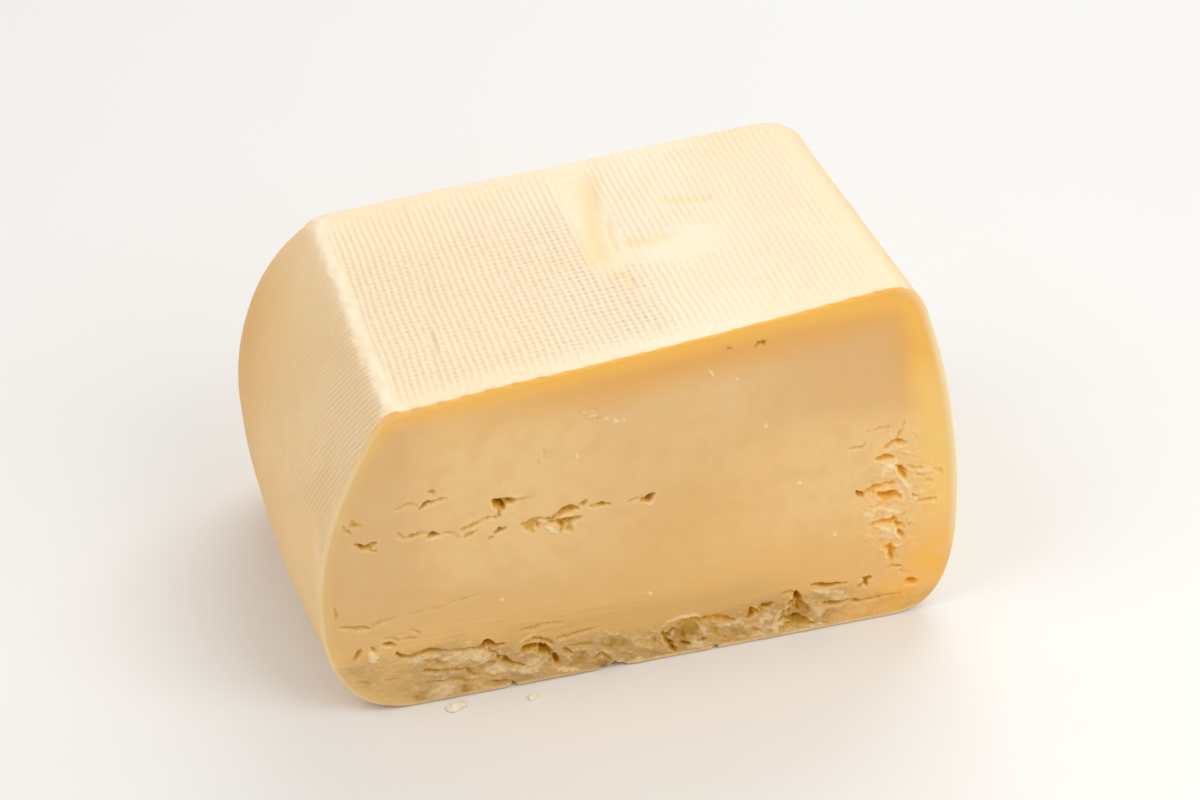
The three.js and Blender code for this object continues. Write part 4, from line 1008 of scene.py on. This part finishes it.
class Recipe:
    """A material under construction. A value given to a socket is set on it, and an output is linked."""

    def __init__(self, name):
        self.material = bpy.data.materials.new(name)
        self.material.use_nodes = True
        self.tree = self.material.node_tree
        self.tree.nodes.clear()
        self.places = self.node("ShaderNodeTexCoord").outputs["Object"]
        self.colour = None

    def node(self, kind, sockets=None, **settings):
        """Adds a node, sets it up and returns it."""
        node = self.tree.nodes.new(kind)
        for setting, value in settings.items():
            setattr(node, setting, value)
        for socket, value in (sockets or {}).items():
            if isinstance(value, bpy.types.NodeSocket):
                self.tree.links.new(value, node.inputs[socket])
            else:
                node.inputs[socket].default_value = value
        return node

    def noise(self, size, detail=3.0, roughness=0.5, stretch=(1, 1, 1), shift=0.0):
        """Noise from 0 to 1 with lumps of about this size in millimetres."""
        scale = [1 / (size * MM * factor) for factor in stretch]
        sockets = {"Vector": self.places, "Scale": scale, "Location": (shift,) * 3}
        places = self.node("ShaderNodeMapping", sockets).outputs[0]
        sockets = {"Vector": places, "Scale": 1.0, "Detail": detail, "Roughness": roughness}
        return self.node("ShaderNodeTexNoise", sockets).outputs["Fac"]

    def patches(self, size, low, high, **settings):
        """Patches from 0 to 1, where a noise rises from low to high."""
        return self.step(self.noise(size, **settings), low, high)

    def attributes(self, *names):
        """Numbers kept on the mesh's points."""
        return [self.node("ShaderNodeAttribute", attribute_name=name).outputs["Fac"] for name in names]

    def axes(self, names):
        """Some of the place's coordinates."""
        place = self.node("ShaderNodeSeparateXYZ", {"Vector": self.places})
        return [place.outputs[name] for name in names]

    def math(self, operation, first, second=0.0, third=0.0):
        """Arithmetic on numbers."""
        return self.node("ShaderNodeMath", {0: first, 1: second, 2: third}, operation=operation).outputs[0]

    def most(self, first, second):
        """The larger of two numbers."""
        return self.math("MAXIMUM", first, second)

    def scaled(self, value, factor, more):
        """A number times a factor, and something more."""
        return self.math("MULTIPLY_ADD", value, factor, more)

    def rest(self, share):
        """What a share leaves of 1."""
        return self.math("SUBTRACT", 1.0, share)

    def step(self, value, low, high):
        """Rises smoothly from 0 to 1 between two values."""
        sockets = {"Value": value, "From Min": low, "From Max": high, "To Min": 0.0, "To Max": 1.0}
        return self.node("ShaderNodeMapRange", sockets, interpolation_type="SMOOTHSTEP").outputs["Result"]

    def share(self, *parts):
        """The product of numbers. A length with two millimetres is a share that rises between them."""
        factors = []
        for part in parts:
            if isinstance(part, tuple):
                length, low, high = part
                part = self.step(length, low * MM, high * MM)
            factors.append(part)
        return reduce(partial(self.math, "MULTIPLY"), factors)

    def blend(self, share, first, second):
        """Goes from one colour to another."""
        first = (*first, 1) if isinstance(first, tuple) else first
        second = (*second, 1) if isinstance(second, tuple) else second
        return self.node("ShaderNodeMix", {0: share, 6: first, 7: second}, data_type="RGBA").outputs[2]

    def mix(self, share, first, second):
        """Goes from one number to another."""
        return self.node("ShaderNodeMix", {0: share, 2: first, 3: second}).outputs[0]

    def paint(self, colour, *parts):
        """Lays a colour over the one so far, by the product of some shares."""
        self.colour = self.blend(self.share(*parts), self.colour, colour)

    def finish(self, roughness, height, bump, **constants):
        """Joins colour, roughness and relief in one shader and returns the material."""
        relief = self.node("ShaderNodeBump", {"Height": height, "Strength": 1.0, "Distance": bump * MM})
        sockets = {"Base Color": self.colour, "Roughness": roughness, "Normal": relief.outputs[0]}
        sockets.update({name.replace("_", " "): value for name, value in constants.items()})
        shader = self.node("ShaderNodeBsdfPrincipled", sockets)
        self.node("ShaderNodeOutputMaterial", {"Surface": shader.outputs[0]})
        return self.material


def tinted(colour, red=1.0, green=1.0, blue=1.0):
    """A colour with its channels multiplied."""
    return tuple(min(channel * factor, 1) for channel, factor in zip(colour, (red, green, blue)))


def threads(recipe, place, pitch, sway):
    """Counts a cloth's threads across one direction, and gives waves from 0 to 1, one for each thread."""
    turns = recipe.scaled(sway, 1.1, recipe.share(place, 1 / pitch))
    return turns, recipe.scaled(recipe.math("SINE", recipe.share(turns, 2 * math.pi)), 0.5, 0.5)


def rind_material(colours):
    """Pale rind with the cloth's weave pressed into the top and its ribs fading down the sides, with
    painted shade in the weave's grooves and pits, the ribs' grooves and the folds, painted shade and bounce
    light on the sides, and a painted glow at the right shoulder.
    """
    recipe = Recipe("pressed_rind")
    share, scaled, rest, paint = recipe.share, recipe.scaled, recipe.rest, recipe.paint
    rind, flank = partial(tinted, colours.rind), partial(tinted, colours.flank)
    x, y = recipe.axes("XY")
    top, end, bead, fold = recipe.attributes("topness", "endness", "bead", "fold")
    column_share, row_share, below_top = recipe.attributes("columns", "rows", "below_top")

    slant = scaled(below_top, -0.4, scaled(x, 0.09, y))
    sways = recipe.noise(22, detail=1.0), recipe.noise(19, detail=1.0, shift=7.0)
    column_turns, columns = threads(recipe, scaled(y, -0.02, x), CLOTH_PITCH[0], sways[0])
    row_turns, rows = threads(recipe, slant, CLOTH_PITCH[1], sways[1])
    cell = {0: recipe.math("FLOOR", column_turns), 1: recipe.math("FLOOR", row_turns)}
    cell = recipe.node("ShaderNodeCombineXYZ", cell).outputs[0]
    chance = recipe.node("ShaderNodeTexWhiteNoise", {0: cell}, noise_dimensions="2D").outputs["Value"]
    crossings = share(rest(columns), rest(rows))
    pits = share(recipe.step(crossings, 0.25, 0.9), scaled(chance, 1.1, 0.1), row_share)
    weave = scaled(share(rows, row_share), 1.1, share(columns, column_share))
    top_relief = scaled(pits, -0.2, share(weave, 0.55))
    ribs = recipe.mix(end, rows, columns)
    patchy = recipe.patches(11, 0.35, 0.6, detail=2.0, shift=4.0)
    fade = share((scaled(patchy, -18 * MM, below_top), 34, -4))
    frontward = recipe.most(share((y, 30, -35)), share(end, 0.6))
    rib_share = scaled(share(fade, scaled(frontward, 0.75, 0.25)), 0.95, 0.05)
    cloth = recipe.mix(top, share(ribs, rib_share), top_relief)
    height = scaled(recipe.noise(0.6, roughness=0.6), 0.35, cloth)
    height = scaled(recipe.noise(3.2, detail=2.0), 0.6, height)

    mottle = recipe.noise(16)
    recipe.colour = recipe.blend(recipe.step(mottle, 0.35, 0.7), flank(), flank(0.98, 0.95, 0.88))
    near_top = recipe.most(share((below_top, 30, 3), (y, 10, -32)), share((below_top, 14, 1), 0.7))
    paint(rind(1.06, 0.93, 0.77), near_top)
    # Painted warm bounce light and shade: the flank is darker and more orange lower down and towards the
    # end.
    paint(flank(0.9, 0.78, 0.5), (scaled(y, 0.6, below_top), 8, 62), scaled(end, -0.4, 1.0))
    paint(flank(0.87, 0.71, 0.42), (y, 4, 36), (below_top, 6, 28), scaled(end, -0.7, 1.0))
    paint(rind(0.99, 0.93, 0.74), (x, 20, 60))
    # Painted shade in the ribs' grooves.
    paint(flank(0.84, 0.72, 0.48), rest(ribs), rib_share, 0.4)
    side_colour = recipe.colour

    recipe.colour = recipe.blend(recipe.step(mottle, 0.4, 0.75), rind(), rind(0.99, 0.97, 0.9))
    paint(rind(1.03, 1.1, 1.3), recipe.patches(1.6, 0.5, 0.72, shift=11.0), 0.35)
    # Painted shade: darker in the grooves between the cloth's threads, and darkest in the pits where they
    # cross.
    paint(rind(0.92, 0.88, 0.8), rest(columns), column_share, 0.5)
    paint(rind(0.92, 0.88, 0.8), rest(rows), row_share, 0.42)
    paint(rind(0.74, 0.72, 0.64), pits, 0.75)
    # The folds are painted yellower and darker: partly the smoother rind in them, partly painted crease
    # shade.
    paint(rind(0.96, 0.86, 0.6), fold, 0.75)
    # Painted glow and shade: the right shoulder and the back right of the top are painted warmer and more
    # orange.
    paint(rind(0.98, 0.82, 0.46), (x, 49, 56), 0.9)
    paint(rind(1.0, 0.86, 0.56), (x, 28, 44), (y, 6, 34), 0.7)
    paint(rind(0.98, 0.93, 0.82), (x, 5, -30), 0.6)
    paint(rind(1.0, 0.92, 0.84), (x, 18, 46), 0.7)
    # The top takes the rind colour and the sides the flank colour: partly the rind's own difference, partly
    # painted shade and bounce light on the sides.
    recipe.colour = recipe.blend(top, side_colour, recipe.colour)
    paint(rind(1.03, 1.06, 1.12), bead, 0.75)
    shader = dict(CHEESE_SHADER, Subsurface_Weight=0.35, Subsurface_Radius=(1.0, 0.55, 0.25))
    return recipe.finish(scaled(mottle, 0.2, 0.42), height, bump=0.25, **shader)


def paste_material(colours):
    """Smooth, slightly moist paste, deeper under the rind, glassy and crumbly along the foot, with painted
    light and shade: broad tints for how the face is lit, a glow under the rind, shade in tears, hollows and
    the torn curd's pits, and highlights on crests, lips and edges.
    """
    recipe = Recipe("cut_paste")
    share, scaled, rest, paint = recipe.share, recipe.scaled, recipe.rest, recipe.paint
    names = ("paste", "rim", "foot", "hollow", "rind", "curd")
    paste, rim, foot, hollow, rind, curd = (partial(tinted, getattr(colours, name)) for name in names)
    x, z = recipe.axes("XZ")
    inward, depth, torn, strip = recipe.attributes("rim", "depth", "torn", "strip")
    cluster, glow, lumps, glassy = recipe.attributes("cluster", "glow", "curd", "glassy")

    mottle = recipe.patches(20, 0.35, 0.65)
    recipe.colour = recipe.blend(mottle, paste(1.02, 1.03, 1.07), paste(0.98, 0.95, 0.88))
    # Painted light and shade: broad tints make the face warmer towards the right and lower down, dimmer on
    # the left, darker high on the right, and brighter in a few broad patches.
    paint(paste(1.08, 1.04, 0.84), (x, -40, 55), (z, 66, 18))
    paint(paste(0.94, 0.96, 1.0), (x, -40, -54), 0.7)
    paint(paste(0.94, 0.91, 0.89), (x, 5, 50), (z, 50, 68))
    paint(paste(1.07, 1.13, 1.16), (x, -50, -36), (x, 2, -24), (z, 22, 36))
    paint(paste(1.01, 1.08, 1.16), (x, -14, 2), (x, 34, 16), (z, 40, 54), 0.6)
    paint(paste(1.09, 1.12, 1.1), (x, 8, 40), (z, 18, 34), (z, 58, 46))
    paint(paste(0.95, 0.9, 0.78), recipe.patches(5, 0.42, 0.7, shift=5.0), 0.35)
    paint(paste(1.02, 0.97, 0.75), (z, 32, 11), 0.8)
    paint(paste(0.88, 0.83, 0.63), (z, 20, 13), (x, -38, -26), (x, 44, 20), 0.8)
    # Partly the paste's own deeper band under the top rind, partly painted glow.
    paint(paste(1.0, 0.83, 0.5), (inward, 13.8, 4), (z, 50, 62), (x, -60, 5))

    # The glow under the rind.
    smooth_colour = recipe.colour
    recipe.colour = recipe.blend(share((z, 58, 70)), rim(), rim(0.98, 0.96, 0.8))
    paint(rim(1.0, 1.12, 1.5), (x, 40, 54), (z, 16, 30), (z, 68, 58))
    paint(rim(1.0, 0.94, 0.75), (x, 44, 58), (z, 28, 12))
    paint(rim(1.0, 0.97, 1.9), recipe.patches(5, 0.46, 0.62, shift=13.0), (z, 62, 40), 0.55)
    recipe.colour = recipe.blend(share(glow, 0.9), smooth_colour, recipe.colour)

    # Torn curd: the strip along the foot and the cluster near the right rind, darker where it falls back
    # and paler on its crests, partly as painted shade and highlight.
    calm = recipe.most(share((x, 40, 48)), share((x, -42, -54), 0.8))
    grey = recipe.patches(5, 0.3, 0.65, stretch=(1.8, 1, 1), shift=2.0)
    strip_colour = recipe.blend(share((x, -12, 10)), foot(1.07, 1.05, 1.2), foot(1.1, 1.0, 0.95))
    paint(strip_colour, strip, scaled(grey, 0.5, 0.38), scaled(calm, -0.35, 1.0))
    # Painted shade, partly glassy curd: darker where the torn curd falls back.
    pit_colour = recipe.blend(cluster, foot(0.95, 0.82, 0.6), rim(0.98, 0.95, 0.8))
    paint(pit_colour, (torn, 0.05, 0.45), scaled(calm, -0.3, 0.5))
    # Painted highlight, partly whitish curd: the torn curd's crests, the curd lumps, the tears' lips and
    # the raised ridges are painted paler.
    crest_colour = recipe.blend(strip, rind(1.05, 0.98, 0.8), curd())
    crest_colour = recipe.blend(cluster, crest_colour, rim(1.0, 1.42, 3.9))
    paint(crest_colour, (torn, -0.02, -0.3), 0.6)
    paint(crest_colour, lumps, 0.8)
    paint(rim(1.0, 1.0, 1.6), recipe.patches(1.9, 0.48, 0.62, shift=6.0), cluster, 0.55)
    flecks = recipe.noise(0.9, detail=2.0, stretch=(1.8, 1, 1), shift=9.0)
    flecked = recipe.most(share(strip, 0.4), share(cluster, 0.25))
    dark_flecks = share(recipe.step(flecks, 0.46, 0.34), strip, 0.35)
    paint(foot(0.95, 0.82, 0.6), dark_flecks, scaled(calm, -0.8, 1.0))
    paint(crest_colour, recipe.step(flecks, 0.56, 0.7), flecked)

    # Tears and hollows, from their rims to the deepest, painted darker with depth: partly their own colour,
    # partly painted shade.
    # Painted glow: in the cluster and under the glowing rim, the tears and hollows are painted golden, as
    # where light comes through.
    golden = recipe.most(cluster, glow)
    # Partly the tears' own tint, partly painted shade: the shallow tears are painted darker and browner.
    tear_tint_and_shade = share((depth, 0.02, 0.8), 0.85)
    paint(recipe.blend(golden, hollow(1.5, 1.6, 1.15), rim(0.98, 1.0, 0.55)), tear_tint_and_shade)
    paint(hollow(1.5, 1.4, 0.2), (x, 4, 18), rest(golden), tear_tint_and_shade, 0.7)
    cloudy = recipe.patches(1.4, 0.42, 0.6, shift=3.0)
    paint(recipe.blend(cloudy, foot(0.8, 0.66, 0.2), foot(1.08, 0.92, 0.5)), glassy, 0.85)
    # Painted shade, partly the hollows' own colour: darker with depth, and darkest in the deepest.
    sunk_colour = recipe.blend(golden, hollow(1.3, 1.2, 0.2), rim(0.95, 0.86, 0.2))
    paint(sunk_colour, (depth, 0.7, 1.8), 0.95)
    paint(hollow(0.85, 0.66, 0.1), (depth, 1.7, 2.7), rest(golden))

    # The cut's edge: on the left, along the foot and on the right. Its pale line is partly the rind's own
    # edge and partly a painted highlight.
    left = share((x, -44, -60))
    paint(paste(1.0, 1.13, 1.0), (inward, 3.6, 1.2), left, 0.45)
    left_edge = share((inward, 1.3, 0.5), left, 0.5)
    foot_edge = share((inward, 1.3, 0.8), (z, 3, 1.2), scaled(share((x, 0, 16)), 0.3, 0.5))
    edge_colour = recipe.blend(left, rind(0.97, 0.86, 0.6), rind(0.98, 0.96, 0.85))
    paint(edge_colour, recipe.most(left_edge, foot_edge))
    paint(rind(1.05, 0.98, 0.75), (x, 50, 62), (z, 12, 26), (inward, 2.4, 0.2))

    height = share(recipe.noise(0.6, roughness=0.6), 0.35)
    height = scaled(recipe.noise(0.8, detail=2.0, stretch=(26, 1, 1)), 0.35, height)
    height = scaled(recipe.noise(2.2), 0.6, height)
    height = scaled(share(flecks, flecked), 2.2, height)
    roughness = scaled(recipe.noise(5), 0.16, scaled(strip, -0.12, 0.46))
    return recipe.finish(roughness, height, bump=0.12, Subsurface_Radius=(1.0, 0.7, 0.3), **CHEESE_SHADER)


def plain_material(name, colour, roughness):
    """An even colour with a faint unevenness, for the floor and the crumbs."""
    recipe = Recipe(name)
    shade = tinted(colour, 0.985, 0.985, 0.985)
    recipe.colour = recipe.blend(recipe.noise(60, detail=2.0), tuple(colour), shade)
    return recipe.finish(roughness, recipe.noise(2, detail=2.0), bump=0.02)


# Operators ------------------------------------------------------------------------------------------------


def make_block(settings):
    """The block before it is cut."""
    block = net_cube("block", BLOCK_CUTS)
    move_points(block.data, block_place(points_of(block.data)))
    places, normals = points_of(block.data), normals_of(block.data)
    places = places + normals * rind_relief(places, normals, settings)[:, None]
    places[:, 2] += foot_lift(places)
    move_points(block.data, places)
    return block


def make_knife(settings):
    """The knife: a slab whose back face carries the relief of the cut, standing out."""
    steps = [np.arange(low, high, settings.net / MM * factor) for low, high, factor in KNIFE_ROWS]
    heights = np.concatenate([*steps, [KNIFE_ROWS[-1][1]]]) * MM
    across = round((FACE_WIDTH + 2 * KNIFE_MARGIN) / settings.net)
    deselect_all()
    bpy.ops.mesh.primitive_grid_add(x_subdivisions=across, y_subdivisions=len(heights) - 1, size=2)
    knife = bpy.context.object
    knife.name = "knife"
    grid = points_of(knife.data)
    x = grid[:, 0] * (FACE_WIDTH / 2 + KNIFE_MARGIN)
    rows = (grid[:, 1] + 1) / 2 * (len(heights) - 1)
    z = np.interp(rows, np.arange(len(heights)), heights)
    inside = (np.abs(grid).max(axis=1) < 1 - 1e-6).astype(float)
    move_points(knife.data, np.column_stack([x, CUT_Y + cut_relief(x, z, settings) * inside, z]))
    bpy.ops.object.mode_set(mode="EDIT")
    bpy.ops.mesh.select_mode(type="EDGE")
    bpy.ops.mesh.select_all(action="DESELECT")
    bpy.ops.mesh.select_non_manifold()
    bpy.ops.mesh.extrude_edges_move(TRANSFORM_OT_translate={"value": (0, -BEFORE_CUT - KNIFE_BACK, 0)})
    bpy.ops.mesh.edge_face_add()
    bpy.ops.mesh.select_all(action="SELECT")
    bpy.ops.mesh.normals_make_consistent(inside=False)
    bpy.ops.object.mode_set(mode="OBJECT")
    return knife


def store_cheese_attributes(mesh, settings):
    """Keeps what the materials need to know at each point."""
    places, normals = points_of(mesh), normals_of(mesh)
    x, y, z = places.T
    rim = rim_distance(x, z)
    openings, rise = openings_and_rise(x, z, settings)
    lumps = spot_share(x, z, CURDS, settings.seed + 30)
    topness = smooth_step(normals[:, 2], 0.72, 0.93)
    columns, rows = weave_shares(x, y)
    shares = {
        "rim": rim,
        "depth": np.where(y - CUT_Y < 8 * MM, openings, 0),
        "torn": torn_relief(x, z, rim, settings),
        "strip": strip_share(x, z),
        "cluster": cluster_share(x, z),
        "glow": glow_share(x, z, rim),
        # The curd share also holds the tears' lips and the raised ridges, so these are painted pale as
        # highlights, beside the real lumps of whitish curd.
        "curd": np.maximum(lumps, np.clip(rise / (0.32 * MM), 0, 1)),
        "glassy": spot_share(x, z, GLASSY, settings.seed + 60, soft=0.7),
        "topness": topness,
        "endness": smooth_step(np.abs(normals[:, 1]) - np.abs(normals[:, 0]), -0.2, 0.2),
        "below_top": top_height(x) - z,
        "bead": bead_share(places),
        "fold": np.clip(fold_depths(x, y) / (0.4 * MM), 0, 1) * topness,
        "columns": columns,
        "rows": rows,
    }
    for name, values in shares.items():
        attribute = mesh.attributes.new(name, "FLOAT", "POINT")
        attribute.data.foreach_set("value", np.asarray(values, dtype=np.float32))


class CHEESE_OT_piece(bpy.types.Operator):
    """Model the cut block of cheese"""

    bl_idname = "cheese.piece"
    bl_label = "Cheese"

    def execute(self, context):
        scene = context.scene
        colours = scene.cheese_colours
        cheese = make_block(scene.cheese_loaf)
        knife = make_knife(scene.cheese_cut)
        rind, paste = rind_material(colours), paste_material(colours)
        for piece, slot in ((cheese, 0), (knife, 1)):
            piece.data.materials.append(rind)
            piece.data.materials.append(paste)
            piece.data.polygons.foreach_set("material_index", [slot] * len(piece.data.polygons))
        apply_modifier(cheese, "BOOLEAN", operation="DIFFERENCE", object=knife, solver="MANIFOLD")
        bpy.data.objects.remove(knife)
        cheese.name = cheese.data.name = "cheese_block"
        pick(cheese)
        bpy.ops.object.mode_set(mode="EDIT")
        bpy.ops.mesh.select_all(action="SELECT")
        bpy.ops.mesh.remove_doubles(threshold=0.02 * MM)
        bpy.ops.mesh.quads_convert_to_tris()
        bpy.ops.object.mode_set(mode="OBJECT")
        apply_modifier(cheese, "DECIMATE", ratio=min(1, MOST_TRIANGLES / len(cheese.data.polygons)))
        store_cheese_attributes(cheese.data, scene.cheese_cut)
        bpy.ops.object.shade_smooth()
        move_points(cheese.data, points_of(cheese.data) + np.array(TO_PART))
        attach(cheese, "root")
        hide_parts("cheese")
        return {"FINISHED"}


class CHEESE_OT_crumbs(bpy.types.Operator):
    """Model the crumbs that lie before the foot of the cut"""

    bl_idname = "cheese.crumbs"
    bl_label = "Crumbs"

    def execute(self, context):
        settings = context.scene.cheese_crumbs
        colour = tinted(context.scene.cheese_colours.rind, 0.98, 1.04, 1.12)
        paste = plain_material("crumb_paste", colour, 0.5)
        crumbs = [self.add_crumb(settings, number, *crumb) for number, crumb in enumerate(CRUMBS)]
        deselect_all()
        for crumb in crumbs:
            crumb.select_set(True)
        bpy.context.view_layer.objects.active = crumbs[0]
        bpy.ops.object.join()
        piece = bpy.context.object
        piece.name = piece.data.name = "crumbs"
        piece.data.materials.clear()
        piece.data.materials.append(paste)
        bpy.ops.object.shade_smooth()
        bpy.ops.object.transform_apply(location=True, rotation=True, scale=True)
        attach(piece, "root")
        return {"FINISHED"}

    def add_crumb(self, settings, number, along, before, size, turn):
        """One ragged, flattish crumb that lies on the floor."""
        deselect_all()
        bpy.ops.mesh.primitive_ico_sphere_add(subdivisions=5, radius=1)
        piece = bpy.context.object
        ball = points_of(piece.data)
        seed = settings.seed + 10 * number
        lumps = 1 + 0.45 * layered_noise(ball * 1.1, seed, 2) + 0.22 * layered_noise(ball * 3, seed + 3, 3)
        width = settings.largest * size / 2
        shape = ball * lumps[:, None] * np.array([1, 0.62, 0.5]) * width
        shape[:, 2] = np.maximum(shape[:, 2], -0.22 * width)
        shape[:, 2] -= shape[:, 2].min()
        turned = [[math.cos(turn), math.sin(turn)], [-math.sin(turn), math.cos(turn)]]
        shape[:, :2] = shape[:, :2] @ np.array(turned)
        shape += np.array([along * MM, CUT_Y - before * MM, 0]) + np.array(TO_PART)
        move_points(piece.data, shape)
        return piece


class CHEESE_OT_stage(bpy.types.Operator):
    """Set up the floor, the light and the camera"""

    bl_idname = "cheese.stage"
    bl_label = "Stage"

    def execute(self, context):
        settings = context.scene.cheese_stage
        deselect_all()
        bpy.ops.mesh.primitive_plane_add(size=6)
        floor = context.object
        floor.name = "floor"
        floor.data.materials.append(plain_material("pale_floor", settings.floor, 0.7))

        world = bpy.data.worlds.new("surroundings")
        world.use_nodes = True
        background = world.node_tree.nodes["Background"]
        background.inputs["Color"].default_value = (1, 0.985, 0.96, 1)
        background.inputs["Strength"].default_value = settings.sky
        context.scene.world = world

        self.add_light("key", settings.key, 0.9, Vector((0.45, 0.75, 0.8)))
        self.add_light("fill", settings.fill, 0.35, Vector((0.25, -0.35, 0.45)))
        self.add_light("side", settings.side, 0.5, Vector((-0.55, -0.15, 0.75)))

        eye, aim = Vector(EYE) * MM, Vector(AIM) * MM
        bpy.ops.object.camera_add(location=eye)
        camera = context.object
        camera.rotation_euler = (aim - eye).to_track_quat("-Z", "Y").to_euler()
        camera.data.lens = settings.lens
        camera.data.sensor_width = 36
        camera.data.clip_start = 0.01
        context.scene.camera = camera
        context.scene.view_settings.view_transform = "Standard"
        return {"FINISHED"}

    def add_light(self, name, power, size, place):
        """A square soft light that looks at the middle of the cheese."""
        bpy.ops.object.light_add(type="AREA", location=place)
        light = bpy.context.object
        light.name = name
        light.data.energy = power
        light.data.size = size
        light.rotation_euler = (Vector((0, 0, HEIGHT / 2)) - place).to_track_quat("-Z", "Y").to_euler()


class CHEESE_PT_panel(bpy.types.Panel):
    """Lists the cheese's operators"""

    bl_idname = "CHEESE_PT_panel"
    bl_label = "Cut Cheese Block"
    bl_space_type = "VIEW_3D"
    bl_region_type = "UI"
    bl_category = "Cheese"

    def draw(self, context):
        for operator in OPERATORS:
            self.layout.operator(operator.bl_idname)


GROUPS = {
    "cheese_loaf": LoafSettings,
    "cheese_cut": CutSettings,
    "cheese_colours": CheeseColours,
    "cheese_crumbs": CrumbSettings,
    "cheese_stage": StageSettings,
}
OPERATORS = (CHEESE_OT_piece, CHEESE_OT_crumbs, CHEESE_OT_stage)


def register():
    """Adds the classes, and their settings to the scene."""
    for group in (*GROUPS.values(), *OPERATORS, CHEESE_PT_panel):
        bpy.utils.register_class(group)
    for name, group in GROUPS.items():
        setattr(bpy.types.Scene, name, PointerProperty(type=group))


def unregister():
    """Takes the classes and settings away again."""
    for name in GROUPS:
        delattr(bpy.types.Scene, name)
    for group in reversed((*GROUPS.values(), *OPERATORS, CHEESE_PT_panel)):
        bpy.utils.unregister_class(group)


def main():
    """Makes every piece and the stage."""
    register()
    bpy.ops.cheese.piece()
    bpy.ops.cheese.crumbs()
    bpy.ops.cheese.stage()


if __name__ == "__main__":
    main()
